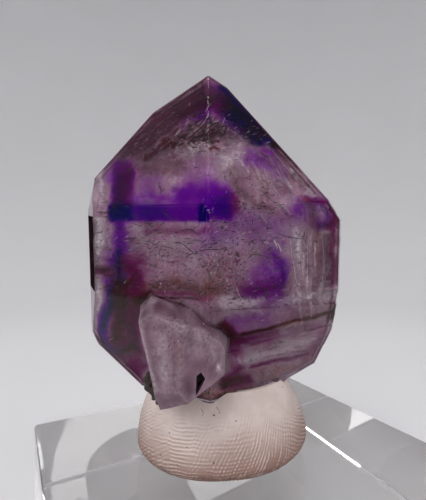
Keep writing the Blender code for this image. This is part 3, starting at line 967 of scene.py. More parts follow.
def gridFace(corners, outward, cell, rims):
    # Fills a flat convex face with square cells, cut off along its outline.
    # Also gives how far each point is from the sides that are rims.
    across = (corners[1] - corners[0]).normalized()
    up = outward.cross(across)
    outline = [((corner - corners[0]).dot(across), (corner - corners[0]).dot(up)) for corner in corners]
    flat = np.array(outline)
    low = np.floor(flat.min(0) / cell).astype(int)
    high = np.ceil(flat.max(0) / cell).astype(int)
    xs = np.arange(low[0], high[0] + 1) * cell
    ys = np.arange(low[1], high[1] + 1) * cell
    gx, gy = np.meshgrid(xs, ys, indexing="ij")
    inside = np.ones(gx.shape, bool)
    for index, (ax, ay) in enumerate(outline):
        bx, by = outline[(index + 1) % len(outline)]
        inside &= (bx - ax) * (gy - ay) - (by - ay) * (gx - ax) >= 0
    number = np.full(gx.shape, -1)
    number[inside] = np.arange(inside.sum())
    points = [np.stack((gx[inside], gy[inside]), 1)]
    count = int(inside.sum())
    faces = []
    for i in range(len(xs) - 1):
        for j in range(len(ys) - 1):
            spots = ((i, j), (i + 1, j), (i + 1, j + 1), (i, j + 1))
            held = [inside[spot] for spot in spots]
            if all(held):
                faces.append(tuple(int(number[spot]) for spot in spots))
                continue
            kept = clipCell([(xs[a], ys[b]) for a, b in spots], outline)
            if len(kept) >= 3:
                points.append(np.array(kept))
                faces.append(tuple(range(count, count + len(kept))))
                count += len(kept)
    spread = np.concatenate(points)
    border = np.full(len(spread), 1.0)
    for index, (ax, ay) in enumerate(outline):
        if not rims[index]:
            continue
        bx, by = outline[(index + 1) % len(outline)]
        off = (bx - ax) * (spread[:, 1] - ay) - (by - ay) * (spread[:, 0] - ax)
        border = np.minimum(border, off / math.hypot(bx - ax, by - ay))
    origin = np.array(corners[0])
    return origin + spread[:, :1] * np.array(across) + spread[:, 1:] * np.array(up), faces, border


def roundPlace(points):
    # Place round the stone and up it, in roundPlan's units
    own = (points - np.array(headPlan["place"])) @ np.array(headPlan["lean"])
    azimuth = np.arctan2(own[:, 0], -own[:, 1])
    middleX, middleY = roundPlan["middle"]
    scale = roundPlan["scale"]
    return middleX + scale * roundPlan["radius"] * azimuth, middleY - own[:, 2] / mm * scale


def inkValues(px, py, border, layer, plan, chosen):
    # Strength of each ink and the cover for one flat face of a layer
    warpX, warpY = waves(px, py, *inkPlan["waves"])
    values = {ink: np.zeros_like(px) for ink in inkOrder}
    shade = {ink: np.zeros_like(px) for ink in hidingInks}
    thicker = np.zeros_like(px)
    for zone in chosen:
        hides = layer == 0 and zone["layer"] == 1 and zone["ink"] in hidingInks
        if zone["layer"] != layer and not hides:
            continue
        mask = zoneMask(zone, px, py, warpX, warpY)
        if hides:
            shade[zone["ink"]] = np.maximum(shade[zone["ink"]], mask)
        elif zone["ink"] == "veil":
            thicker = np.maximum(thicker, mask)
        else:
            values[zone["ink"]] = 1 - (1 - values[zone["ink"]]) * (1 - mask)
    under = np.maximum.reduce(list(shade.values()))
    for ink in darkInks:
        values[ink] = 1 - (1 - values[ink]) ** inkPlan["strongDark"]
    values["pale"] = values["pale"] * (1 - inkPlan["paleLoss"] * under)
    low, high = plan["cover"]
    spots = cloud(px, py, inkPlan["coverSize"], 3 + layer, 3)
    own = low + (high - low) * smoothStep(*inkPlan["coverSpread"], spots)
    rim = plan["rim"] * (1 - smoothStep(*rimReach, border))
    # painted shade: smoke ink along the rims beside the faces turned away
    values["smoke"] = 1 - (1 - values["smoke"]) * (1 - rim * rimShadeInk)
    bare = 1 - np.maximum.reduce([own * (1 - under) ** 2, rim, thicker])
    for ink in inkOrder:
        thick = 1 - (1 - values[ink]) ** 2 if ink in darkInks else values[ink]
        bare = bare * (1 - inkCover[ink] * thick)
    # over a dark part of the middle veil, what little shows of the front one is dark too
    for ink in hidingInks:
        values[ink] = np.maximum(values[ink], shade[ink])
    return values, 1 - bare


def makeVeil(layer, plan, material):
    shell = headStone(headFaces(plan["depth"]))
    depth = plan["depth"] * mm
    middles = [(np.array([face.calc_center_median()]), face.normal) for face in shell.faces]
    hidden = [seenPixels(middle, normal, depth) is None for middle, normal in middles]
    shell.faces.index_update()
    bits = []
    seen = []
    inks = []
    for face in shell.faces:
        outward = face.normal.copy()
        corners = [vert.co.copy() for vert in face.verts]
        turned = hidden[face.index]
        meets = [any(hidden[other.index] for other in loop.edge.link_faces) for loop in face.loops]
        rims = [not turned and meeting for meeting in meets]
        cell = (plan["far"] if turned else plan["cell"]) * mm
        points, faces, border = gridFace(corners, outward, cell, rims)
        if not faces:
            continue
        px, py = roundPlace(points) if turned else seenPixels(points, outward, depth)
        values, cover = inkValues(px, py, border, layer, plan, roundZones if turned else zones)
        bits.append((points.tolist(), faces))
        seen.append(np.stack((px, py, np.full_like(px, layerShift * layer)), 1))
        inks.append(np.stack([values[ink] for ink in inkOrder] + [cover], 1))
    shell.free()
    mesh = joinBits(plan["name"], bits)
    strengths = np.concatenate(inks)
    writeValues(mesh, "seen", np.concatenate(seen), "FLOAT_VECTOR")
    writeValues(mesh, "inksFirst", strengths[:, :4])
    writeValues(mesh, "inksSecond", strengths[:, 4:])
    dress(addPiece(plan["name"], mesh, material))
    print(plan["name"] + ":", len(mesh.polygons), "faces")


# The crystal's skin holds back part of the light that a veil sends out, so the veils' own
# colours are lighter and cleaner than the ones that show
skinLoss = {"light": 0.70, "passes": 0.364, "caught": 0.6, "gleam": 0.004}
blendPower = 2.4  # inks blend on an even scale of brightness and turn into light afterwards


def veilTone(red, green, blue):
    shown = [max(0.0, value - skinLoss["gleam"]) / skinLoss["light"] for value in tone(red, green, blue)]
    own = [min(0.93, share / (skinLoss["passes"] + skinLoss["caught"] * share)) for share in shown]
    return tuple(share ** (1 / blendPower) for share in own)


veilLook = {
    "haze": veilTone(134, 98, 118),
    "hazeLight": veilTone(166, 140, 156),
    "hazeDark": veilTone(96, 58, 80),
    "violet": veilTone(48, 0, 80),
    "ink": veilTone(10, 0, 46),
    "plum": veilTone(50, 12, 34),
    "umber": veilTone(78, 46, 42),
    "soot": veilTone(24, 3, 10),
    "smoke": veilTone(44, 26, 34),
    "pale": veilTone(205, 188, 196),
    "roughness": 0.6,
    "hazeGrain": 0.7,
    # each pair is a mask's factor and what is added to it
    "streaks": (-0.30, 1.05),
    "ragged": (0.7, 0.6),
    "thinCover": (0.35, 0.8),
    "denseCover": (4.2, -2.95),
}


def veilMaterial(plan):
    material, tree, shader = newMaterial(plan["name"])
    seen = addNode(tree, "ShaderNodeAttribute", attribute_name="seen").outputs["Vector"]
    *inks, cover = (*storedValues(tree, "inksFirst"), *storedValues(tree, "inksSecond"))
    masks = dict(zip(inkOrder, inks))

    tilt = (0.6, 0.4, 0.0)
    grain = useGroup(tree, fibres, seen, Turn=tilt, Scale=0.28, Detail=4.0, Low=0.34, High=0.66)
    mottle = useGroup(tree, fibres, seen, Turn=tilt, Scale=0.05, Detail=5.0, Low=0.38, High=0.62)
    slant = useGroup(tree, fibres, seen, Turn=(0, 0, math.radians(36)), Stretch=(0.12, 1.0, 1.0),
                     Scale=0.30, Detail=3.0, Low=0.42, High=0.68)
    upright = useGroup(tree, fibres, seen, Turn=(0, 0, math.radians(-6)), Stretch=(1.0, 0.12, 1.0),
                       Scale=0.30, Detail=3.0, Low=0.50, High=0.72)

    colour = blendColour(tree, mottle.outputs["Mask"], veilLook["haze"], veilLook["hazeLight"])
    colour = tint(tree, colour, grain.outputs["Mask"], veilLook["hazeGrain"], veilLook["hazeDark"])
    colour = tint(tree, colour, upright.outputs["Mask"], plan["wisps"], veilLook["pale"])
    for ink in inkOrder:
        mask = masks[ink]
        if ink in ("smoke", "soot"):
            streaky = calc(tree, "MULTIPLY_ADD", slant.outputs["Mask"], *veilLook["streaks"])
            mask = calc(tree, "MULTIPLY", mask, streaky, clamp=True)
        if ink in ("umber", "pale"):
            ragged = calc(tree, "MULTIPLY_ADD", grain.outputs["Mask"], *veilLook["ragged"])
            mask = calc(tree, "MULTIPLY", mask, ragged, clamp=True)
        colour = blendColour(tree, mask, colour, veilLook[ink])
    light = addNode(tree, "ShaderNodeGamma")
    feed(tree, light.inputs["Color"], colour)
    light.inputs["Gamma"].default_value = blendPower
    tree.links.new(light.outputs[0], shader.inputs["Base Color"])
    # thin cover is uneven, dense cover is not
    uneven = calc(tree, "MULTIPLY_ADD", grain.outputs["Mask"], *veilLook["thinCover"])
    thin = calc(tree, "MULTIPLY", cover, uneven, clamp=True)
    dense = calc(tree, "MULTIPLY_ADD", cover, *veilLook["denseCover"], clamp=True)
    feed(tree, shader.inputs["Alpha"], calc(tree, "MAXIMUM", thin, dense))
    setInputs(shader, {"Roughness": veilLook["roughness"], "Specular IOR Level": 0.0})
    return material


for layer, plan in enumerate(veilPlans):
    makeVeil(layer, plan, veilMaterial(plan))


# Needles, hairs and dots inside the stone, and white grains as painted glints
inclusionPlan = {
    "darkNeedles": 900,
    "paleNeedles": 120,
    "dots": 620,
    "glints": 130,
    "depths": (0.05, 0.12),  # mm under the skin, in front of the first veil
    "darkThick": (0.032, 0.058),  # mm, from the middle to the skin
    "paleThick": (0.018, 0.034),
    "darkHalf": (1.0, 3.4),  # pixels, half of a needle's length
    "paleHalf": (1.0, 3.2),
    "hairThick": 0.052,
    "hairDepth": 0.22,  # share of the depth in the list
    "dotSize": (0.045, 0.09),
    "glintSize": (0.04, 0.13),
    "sway": 28,  # degrees, how far the needles are from lying the same way
    "longest": 3 * mm,  # a needle with its ends further apart is left out
    "headPixels": (92, 338, 84, 395),  # left, right, top and bottom of the head
}
# Curved dark hairs: depth in mm, still to be multiplied by hairDepth, and pixels along them
hairs = (
    (0.5, ((277, 233.5), (285, 236), (294, 238), (302, 239))),
    (0.5, ((302, 239.5), (304, 236), (304.5, 232))),
    (0.6, ((161, 246.8), (167, 247.2), (174, 249.4))),
    (0.6, ((173, 243), (181.6, 243.7), (192, 252), (199, 254))),
    (0.6, ((185, 257.2), (195.4, 252.3), (211, 249.4), (226.4, 250.6))),
    (0.6, ((249.6, 254.6), (259, 255.1), (271, 258.5), (280, 258))),
    (0.6, ((247.9, 244.8), (252, 241), (257.4, 239.1))),
    (0.6, ((259, 239), (262, 242), (266, 246))),
    (0.5, ((114.4, 248.5), (130, 248.2), (138.5, 252))),
    (0.5, ((145.4, 236.5), (148.9, 233.4))),
    (0.5, ((161, 209.8), (168, 216), (176.4, 222.7))),
    (0.5, ((333, 223.6), (330, 228), (325.4, 229.6))),
    (0.6, ((148.9, 265.4), (152.5, 264.6))),
    (0.6, ((206.6, 267.5), (209, 273), (210.9, 279.5))),
    (0.4, ((96.4, 212), (102, 212.5), (108.4, 211.5))),
    (0.4, ((98.9, 288.2), (103.2, 288.5))),
    (0.4, ((102.4, 290.7), (108, 289), (112.7, 288.2))),
    (0.6, ((189, 229.6), (193, 231), (198.8, 235.6))),
    (0.5, ((158, 184), (161, 190), (160, 195))),
    (0.5, ((172, 186), (177, 191))),
)
# Pale threads: depth as for the hairs, half their thickness in mm and pixels along them
threads = (
    (0.35, 0.030, ((186, 137), (195, 131), (204, 122), (209, 113))),
    (0.35, 0.022, ((176, 146), (186, 139), (193, 134))),
    (0.35, 0.025, ((205, 112), (208, 107), (211, 103))),
    (0.35, 0.020, ((206, 128), (214, 122), (224, 120), (232, 124))),
    (0.35, 0.018, ((213, 132), (222, 128), (232, 131), (240, 137))),
    (0.35, 0.030, ((264, 168), (267, 178), (272, 190), (278, 196))),
    (0.35, 0.025, ((272, 150), (280, 160), (290, 172), (298, 181))),
    (0.35, 0.020, ((278, 165), (284, 176), (289, 183))),
    (0.35, 0.022, ((268, 155), (276, 168), (283, 182))),
    (0.35, 0.030, ((281, 200), (286, 208), (291, 215))),
    # the next two are painted glints: thick white threads where a bright glint shows
    (0.30, 0.095, ((273.5, 240), (276, 244.5), (277.5, 249))),
    (0.30, 0.070, ((277, 243), (279.5, 247), (281, 252))),
    (0.35, 0.030, ((236, 286), (238, 292), (241, 299))),
    (0.30, 0.035, ((290, 240), (293, 262), (297, 285))),
    (0.30, 0.025, ((300, 236), (301, 258), (304, 280))),
    (0.30, 0.030, ((309, 233), (307, 255), (308, 284))),
    (0.30, 0.025, ((321, 235), (324, 258), (321, 292))),
)


ringTurns = (0.0, 2.1, 4.2)  # radians, the three edges of a needle or a thread
needleTaper = (0.2, 0.8)  # shares of the length between which a needle has its full thickness
threadSteps = 5  # parts between two pixels of a thread
threadThin = 0.35  # thickness of a thread at its ends, as a share


def rod(start, end, radius):
    # A three-sided needle with pointed ends
    along = (end - start).normalized()
    side = along.orthogonal().normalized()
    other = along.cross(side)
    ring = [side * math.cos(a) + other * math.sin(a) for a in ringTurns]
    inner, outer = (start.lerp(end, share) for share in needleTaper)
    points = [start, *(inner + r * radius for r in ring), *(outer + r * radius for r in ring), end]
    faces = []
    for k in range(3):
        after = (k + 1) % 3
        faces += [(0, 1 + after, 1 + k), (1 + k, 1 + after, 4 + after, 4 + k), (7, 4 + k, 4 + after)]
    return points, faces


def smoothCurve(a, b, c, d, t):
    # A value between b and c on a smooth curve that comes from a and goes on to d
    bend = (2 * a - 5 * b + 4 * c - d) * t * t
    swing = (3 * b - a - 3 * c + d) * t ** 3
    return 0.5 * (2 * b + (c - a) * t + bend + swing)


def strand(pixels, depth, radius):
    # A thin smooth thread along pixels, three-sided, under the crystal's skin
    spots = []
    ends = (pixels[0], *pixels, pixels[-1])
    for corners in zip(ends, ends[1:], ends[2:], ends[3:]):
        for step in range(threadSteps):
            spots.append([smoothCurve(*values, step / threadSteps) for values in zip(*corners)])
    spots.append(list(pixels[-1]))
    line = [insideAt(x, y, depth) for x, y in spots]
    line = [point for point in line if point is not None]
    points = []
    faces = []
    for index, point in enumerate(line):
        before = line[max(0, index - 1)]
        after = line[min(len(line) - 1, index + 1)]
        along = (after - before).normalized()
        side = along.cross(Vector((0, 1, 0))).normalized()
        other = along.cross(side)
        share = index / max(1, len(line) - 1)
        thick = radius * (threadThin + (1 - threadThin) * math.sin(math.pi * share) ** 0.5)
        points += [point + (side * math.cos(a) + other * math.sin(a)) * thick for a in ringTurns]
        if index:
            base = 3 * index
            faces += [(base - 3 + k, base - 3 + (k + 1) % 3, base + (k + 1) % 3, base + k) for k in range(3)]
    return points, faces


def grainBit(point, radius, stretch=1.0):
    # A small eight-sided grain
    turn = Matrix.Rotation(random.uniform(0, 3.1), 3, "Y") @ Matrix.Rotation(random.uniform(0, 3.1), 3, "X")
    tips = ((stretch, 0, 0), (-stretch, 0, 0), (0, 1, 0), (0, -1, 0), (0, 0, 1), (0, 0, -1))
    points = [point + turn @ Vector(tip) * radius for tip in tips]
    faces = [(a, b, c) for a in (0, 1) for b, c in ((2, 4), (4, 3), (3, 5), (5, 2))]
    return points, faces


def spreadPixels(regions, share):
    # A random pixel: mostly from one of the named regions, else from the whole head
    if random.random() < share:
        x, y, halfX, halfY = random.choice(regions)
        return random.gauss(x, halfX), random.gauss(y, halfY)
    left, right, top, bottom = inclusionPlan["headPixels"]
    return random.uniform(left, right), random.uniform(top, bottom)


needleRegions = (
    (170, 146, 24, 5), (200, 133, 12, 6), (222, 126, 14, 6), (248, 134, 12, 5), (188, 138, 16, 6),
    (205, 118, 14, 8), (225, 245, 36, 10), (255, 215, 30, 18), (130, 240, 20, 14), (225, 290, 30, 10),
)
dotRegions = (
    (218, 275, 20, 16), (150, 265, 24, 16), (250, 190, 24, 20), (270, 290, 34, 14), (120, 200, 12, 30),
)
# pixels where white grains go as painted glints
glintRegions = (
    (205, 254, 10, 3), (220, 262, 16, 8), (252, 272, 9, 6), (209, 208, 3, 6), (281, 284, 3, 7),
    (192, 140, 20, 6), (222, 128, 12, 5), (265, 240, 14, 8), (164, 288, 8, 4),
)


def needleBits(count, share, reach, thick, lean):
    bits = []
    while len(bits) < count:
        x, y = spreadPixels(needleRegions, share)
        angle = math.radians(random.gauss(lean, inclusionPlan["sway"]))
        half = random.uniform(*reach)
        start = insideAt(x - half * math.cos(angle), y + half * math.sin(angle),
                         random.uniform(*inclusionPlan["depths"]))
        end = insideAt(x + half * math.cos(angle), y - half * math.sin(angle),
                       random.uniform(*inclusionPlan["depths"]))
        if start is None or end is None or (start - end).length > inclusionPlan["longest"]:
            continue
        bits.append(rod(start, end, random.uniform(*thick) * mm))
    return bits


def roundNeedles(count, thick):
    # Needles under the sides and the back, where the camera doesn't place them
    bits = []
    while len(bits) < count:
        azimuth = random.uniform(50, 310)
        way = headPlan["lean"] @ facing(azimuth, random.uniform(-25, 50))
        start = headPlan["place"] + headPlan["lean"] @ Vector((0, 0, random.uniform(-6, 4) * mm))
        hit = headTree.ray_cast(start, way)[0]
        if hit is None:
            continue
        middle = hit - way * random.uniform(0.4, 1.6) * mm
        flat = way.orthogonal().normalized()
        flat.rotate(Matrix.Rotation(random.uniform(0, 6.3), 3, way))
        half = flat * random.uniform(0.15, 0.6) * mm
        bits.append(rod(middle - half, middle + half, random.uniform(*thick) * mm))
    return bits


def plainLook(name, colours, roughness, scale, gloss=0.5):
    # A quiet two-tone finish for small things
    material, tree, shader = newMaterial(name)
    mottle = useGroup(tree, fibres, ownPlace(tree), Scale=scale, Detail=3.0, Low=0.35, High=0.65)
    feed(tree, shader.inputs["Base Color"], blendColour(tree, mottle.outputs["Mask"], *colours))
    rough = calc(tree, "MULTIPLY_ADD", mottle.outputs["Mask"], 0.2, roughness)
    feed(tree, shader.inputs["Roughness"], rough)
    shader.inputs["Specular IOR Level"].default_value = gloss
    return material


# Dark band on the narrow face beside the left edge
darkBandPlan = {
    "faces": ((-66, 1), (-70, 13)),  # azimuth and slope
    "levels": (-5.0, 4.4),  # lowest and highest place, mm from the middle of the head
    "proud": 0.03,  # mm
    "inset": 0.10,  # mm from the faces beside it
}


def bitOf(bm):
    # The points and faces of a small shape, for joinBits
    bm.verts.index_update()
    points = [vert.co.copy() for vert in bm.verts]
    faces = [tuple(vert.index for vert in face.verts) for face in bm.faces]
    bm.free()
    return points, faces


def makeDarkBand():
    # A thin plate on each narrow face, half sunk in it
    proud = darkBandPlan["proud"]
    low, high = darkBandPlan["levels"]
    bits = []
    for stained in darkBandPlan["faces"]:
        faces = [(0, 90, high), (0, -90, -low)]
        for azimuth, slope, distance in headFaces():
            if (azimuth, slope) == stained:
                faces += [(azimuth, slope, distance + proud), (azimuth + 180, -slope, proud - distance)]
            else:
                faces.append((azimuth, slope, distance - darkBandPlan["inset"]))
        bits.append(bitOf(headStone(faces)))
    look = plainLook("darkEdgeLook", (tone(14, 6, 9), tone(40, 24, 26)), 0.8, 900.0, gloss=0.0)
    addBits("darkEdgeBand", bits, look)
    print("stain:", sum(len(faces) for _, faces in bits), "faces")


def makeInclusions():
    dark = plainLook("ironNeedle", (tone(8, 2, 5), tone(24, 10, 14)), 0.5, 1500.0)
    pale = plainLook("paleThreadAndGlint", (tone(176, 158, 170), tone(222, 210, 218)), 0.4, 1500.0)
    plan = inclusionPlan
    bits = needleBits(plan["darkNeedles"], 0.55, plan["darkHalf"], plan["darkThick"], 18)
    bits += roundNeedles(plan["darkNeedles"], plan["darkThick"])
    bits += [strand(pixels, depth * plan["hairDepth"], plan["hairThick"] * mm) for depth, pixels in hairs]
    for _ in range(plan["dots"]):
        x, y = spreadPixels(dotRegions, 0.55)
        point = insideAt(x, y, random.uniform(*plan["depths"]))
        if point is not None:
            bits.append(grainBit(point, random.uniform(*plan["dotSize"]) * mm, 1.6))
    addBits("darkInclusions", bits, dark)
    bits = needleBits(plan["paleNeedles"], 0.8, plan["paleHalf"], plan["paleThick"], 25)
    bits += roundNeedles(plan["paleNeedles"], plan["paleThick"])
    bits += [strand(pixels, depth * plan["hairDepth"], half * mm) for depth, half, pixels in threads]
    # white grains as painted glints
    for _ in range(plan["glints"]):
        x, y = spreadPixels(glintRegions, 0.9)
        point = insideAt(x, y, random.uniform(*plan["depths"]))
        if point is not None:
            bits.append(grainBit(point, random.uniform(*plan["glintSize"]) * mm, 0.5))
    addBits("paleInclusionsAndGlints", bits, pale)
    print("inclusions done")


makeDarkBand()
makeInclusions()


# Milky side crystal, worn and blunt, on the lower front left
sidePlan = {
    "place": blockTop + Vector((-8.65, -10.8, 18.0)) * mm,
    "faces": (
        (-28, 6, 2.9), (32, 4, 2.9), (-84, -14, 3.6), (84, 0, 4.5), (80, 27, 4.1), (70, 48, 3.5),
        (15, 72, 3.8), (-8, 40, 3.9), (-70, 40, 5.2), (75, -54, 4.5), (30, -66, 5.3), (-20, -30, 4.6),
        (180, 0, 4.0),
    ),
    "proud": 0.03 * mm,
    "wear": 0.32 * mm,
    "rounds": 4,  # times that each edge of its skin is halved
    "dents": ((1.6, 0.060), (0.5, 0.022)),  # size of the dents and their depth, in mm
    "ridges": (0.15 * mm, 0.75 * mm),  # wear is strong this near a ridge, and ends this far off
    "pitPlace": blockTop + Vector((-6.75, -12.4, 15.3)) * mm,
    "pitOutline": ((-0.6, 0.7), (0.35, 1.0), (1.25, 0.3), (0.1, -0.6), (-0.7, -1.0)),
    "pitHalf": (0.55, 1.25),
    "pitDepth": 3.4,
    "pitNarrows": 0.7,
    "liningShrink": 0.93,  # the dark lining of the pit is this much smaller across
    "liningFloor": -0.9 * mm,  # and starts this far under the skin
    "sharpest": 28,  # degrees between two faces that still look smooth
    "waves": (7, 1, (4, 5)),  # size and reach of the waves in its zones, in pixels, and their shifts
    "milk": (tone(86, 59, 73), tone(116, 89, 103)),
    "grainTone": tone(90, 66, 84),
    "dotTone": tone(60, 34, 52),
    "rose": tone(94, 58, 70),
    # painted shade of the darker facets
    "shade": tone(66, 38, 54),
    "worn": tone(136, 118, 126),
    "white": tone(186, 174, 180),
    "dots": 60,
    "dotSpread": (178, 332, 20),  # pixels, their middle and how far they spread
    "dotSize": (0.045, 0.085),
}
# Painted shade on the side crystal's darker facets, and lighter places with a painted highlight, by pixel
sidePaintedShades = (
    patch("shade", 0, 0.72, 153, 311, 12, 6, turn=32, soft=6, rough=4),
    patch("shade", 0, 0.92, 180, 323, 14, 10, turn=-30, soft=8, rough=5),
    patch("shade", 0, 0.78, 182, 388, 12, 10, turn=10, soft=9, rough=6),
    patch("shade", 0, 0.20, 209, 344, 5, 16, turn=8, soft=6, rough=4),
    stroke("shade", 0, 0.22, 1.2, ((192, 352), (196, 360), (192, 368)), soft=4, rough=3),
)
sideWhites = (
    # painted highlight where a glint shows at the lower right
    patch("white", 0, 0.95, 219, 368.5, 2, 3.5, soft=2.5, rough=1),
    stroke("white", 0, 0.55, 0.8, ((138, 314), (142, 336), (148, 360), (156, 390)), soft=2, rough=1),
    stroke("white", 0, 0.45, 0.8, ((139, 314), (150, 303), (162, 298)), soft=2, rough=1),
    stroke("white", 0, 0.35, 0.6, ((162, 299), (176, 312), (186, 330), (188, 352)), soft=2.5, rough=2),
    patch("white", 0, 0.35, 163, 352, 6, 18, turn=6, soft=7, rough=5),
    patch("white", 0, 0.38, 165, 376, 6, 8, soft=6, rough=4),
    patch("white", 0, 0.26, 199, 345, 6, 12, turn=6, soft=7, rough=5),
    patch("white", 0, 0.30, 214, 352, 4, 12, turn=10, soft=5, rough=3),
)
# Dark dots on it, and white grains as painted glints, by pixel
sideDots = (
    (163.6, 324), (170, 324), (174, 315), (185, 321), (190, 325), (145.7, 328.7), (169, 332), (171, 338),
    (148, 342), (169, 346.6), (172, 350), (169, 355), (203, 334), (207.5, 338.5), (207, 360), (208, 357),
)
sideGlints = ((190.6, 309), (199, 311.5), (203.6, 324), (162, 368), (178, 341))


def pitTool(shrink=1.0):
    bm = bmesh.new()
    halfWidth, halfHeight = sidePlan["pitHalf"]
    inward = Vector((0, sidePlan["pitDepth"] * mm, 0))
    front = []
    back = []
    for across, up in sidePlan["pitOutline"]:
        flat = Vector((across * halfWidth * mm, 0, up * halfHeight * mm)) * shrink
        front.append(bm.verts.new(sidePlan["pitPlace"] + flat - inward))
        back.append(bm.verts.new(sidePlan["pitPlace"] + flat * sidePlan["pitNarrows"] + inward))
    bm.faces.new(front)
    bm.faces.new(reversed(back))
    for step in range(len(front)):
        after = (step + 1) % len(front)
        bm.faces.new((front[after], front[step], back[step], back[after]))
    return bm


def milkyMaterial():
    material, tree, shader = newMaterial("milkyQuartz")
    place = ownPlace(tree)
    mottle = useGroup(tree, fibres, place, Scale=330.0, Detail=4.0, Low=0.36, High=0.64)
    grain = useGroup(tree, fibres, place, Scale=2600.0, Detail=2.0, Low=0.3, High=0.7)
    veins = useGroup(tree, fibres, place, Scale=420.0, Detail=3.0, Stretch=(1.0, 1.0, 0.35),
                     Low=0.50, High=0.70)
    dots = useGroup(tree, specks, place, Scale=1500.0, Size=0.16, Share=0.10)
    shade, white, worn, _ = storedValues(tree, "marks")
    ragged = calc(tree, "MULTIPLY_ADD", grain.outputs["Mask"], 0.7, 0.3)
    colour = blendColour(tree, mottle.outputs["Mask"], *sidePlan["milk"])
    colour = tint(tree, colour, veins.outputs["Mask"], 0.75, sidePlan["rose"])
    colour = tint(tree, colour, grain.outputs["Mask"], 0.20, sidePlan["grainTone"])
    # painted shade on the darker facets
    colour = blendColour(tree, shade, colour, sidePlan["shade"])
    colour = tint(tree, colour, dots.outputs["Mask"], 0.8, sidePlan["dotTone"])
    colour = tint(tree, colour, calc(tree, "MULTIPLY", worn, ragged), 0.6, sidePlan["worn"])
    # lighter places, with a painted highlight at the lower right
    colour = tint(tree, colour, white, ragged, sidePlan["white"])
    feed(tree, shader.inputs["Base Color"], colour)
    feed(tree, shader.inputs["Roughness"], calc(tree, "MULTIPLY_ADD", mottle.outputs["Mask"], 0.15, 0.3))
    bumpFrom(tree, shader, grain.outputs["Height"], 0.25, 0.05 * mm)
    setInputs(shader, {
        "Subsurface Weight": 0.5,
        "Subsurface Radius": (1.0, 0.8, 1.0),
        "Subsurface Scale": 1.2 * mm,
        "Specular IOR Level": 0.35,
    })
    return material


def refineSkin(bm, rounds):
    # Cuts every edge in half, a fixed number of times, so that the skin can carry dents
    bmesh.ops.triangulate(bm, faces=bm.faces[:])
    for _ in range(rounds):
        bmesh.ops.subdivide_edges(bm, edges=bm.edges[:], cuts=1, use_grid_fill=True)


def dentSkin(bm, dents):
    bm.normal_update()
    for vert in bm.verts:
        depth = sum(deep * noise.noise(vert.co / (size * mm)) for size, deep in dents)
        vert.co += vert.normal * depth * mm


def meshPoints(mesh):
    flat = np.empty(len(mesh.vertices) * 3)
    mesh.vertices.foreach_get("co", flat)
    return flat.reshape(-1, 3)


def markSide(mesh):
    # Painted shade, lighter places with a painted highlight, and worn ridges of the side crystal as one
    # attribute
    points = meshPoints(mesh)
    px, py = plainPixels(points)
    warpX, warpY = waves(px, py, *sidePlan["waves"])
    ways, reach = facePlanes(sidePlan["faces"], sidePlan["place"], Matrix.Identity(3), sidePlan["proud"])
    nextFace = np.sort(reach - points @ ways.T, axis=1)[:, 1]
    columns = []
    for group in (sidePaintedShades, sideWhites):
        kept = np.ones_like(px)
        for zone in group:
            kept *= 1 - zoneMask(zone, px, py, warpX, warpY)
        columns.append(1 - kept)
    columns.append(1 - smoothStep(*sidePlan["ridges"], nextFace))
    columns.append(np.ones_like(px))
    writeValues(mesh, "marks", np.stack(columns, 1))


def treeOf(mesh):
    bm = bmesh.new()
    bm.from_mesh(mesh)
    tree = BVHTree.FromBMesh(bm)
    bm.free()
    return tree


def grainsOn(tree, spots, sizes, stretch):
    # Small grains where the lines through these pixels meet a surface
    bits = []
    for x, y in spots:
        hit = tree.ray_cast(cameraPlan["place"], sightLine(x, y))[0]
        if hit is not None:
            bits.append(grainBit(hit, random.uniform(*sizes) * mm, stretch))
    return bits


def makeSideCrystal():
    bm = cutStone(sidePlan["faces"], sidePlan["place"], Matrix.Identity(3), sidePlan["proud"])
    wearEdges(bm, sidePlan["wear"], 3)
    refineSkin(bm, sidePlan["rounds"])
    dentSkin(bm, sidePlan["dents"])
    print("side crystal skin:", len(bm.faces), "faces")
    side = addPiece("sideCrystal", toMesh(bm, "sideCrystal"), milkyMaterial())
    applyAll(side, [(pitTool(), "DIFFERENCE")])
    markSide(side.data)
    tree = treeOf(side.data)
    x, y, spread = sidePlan["dotSpread"]
    spots = list(sideDots)
    spots += [(random.gauss(x, spread), random.gauss(y, spread)) for _ in range(sidePlan["dots"])]
    dark = plainLook("spotDark", (tone(34, 16, 28), tone(64, 38, 54)), 0.5, 1500.0)
    addBits("sideDots", grainsOn(tree, spots, sidePlan["dotSize"], 1.2), dark)
    # white grains as painted glints
    pale = plainLook("glintPale", (tone(214, 206, 212), tone(240, 236, 238)), 0.3, 1500.0)
    addBits("sideGlints", grainsOn(tree, sideGlints, sidePlan["dotSize"], 1.0), pale)
    side.data.shade_smooth()
    side.data.set_sharp_from_angle(angle=math.radians(sidePlan["sharpest"]))
    dress(side, "amethyst_crystal")
    pitLook = plainLook("pitDark", (tone(14, 6, 8), tone(34, 18, 20)), 0.7, 1800.0)
    lining = addPiece("pitLining", toMesh(pitTool(sidePlan["liningShrink"]), "pitLining"), pitLook)
    core = cutStone(sidePlan["faces"], sidePlan["place"], Matrix.Identity(3), sidePlan["liningFloor"])
    applyAll(lining, [(core, "INTERSECT")])
    dress(lining)
    print("side crystal:", len(side.data.polygons), "faces")


makeSideCrystal()


# Dark rough lumps under the head's left edge
lumpPlan = {
    "lumps": (
        ((-12.6, -5.2, 12.2), 0.90), ((-12.0, -6.2, 11.6), 0.72), ((-13.1, -4.4, 12.7), 0.65),
        ((-12.3, -6.7, 12.1), 0.45), ((-11.6, -7.0, 11.0), 0.42),
    ),
    "uneven": 0.42,
}


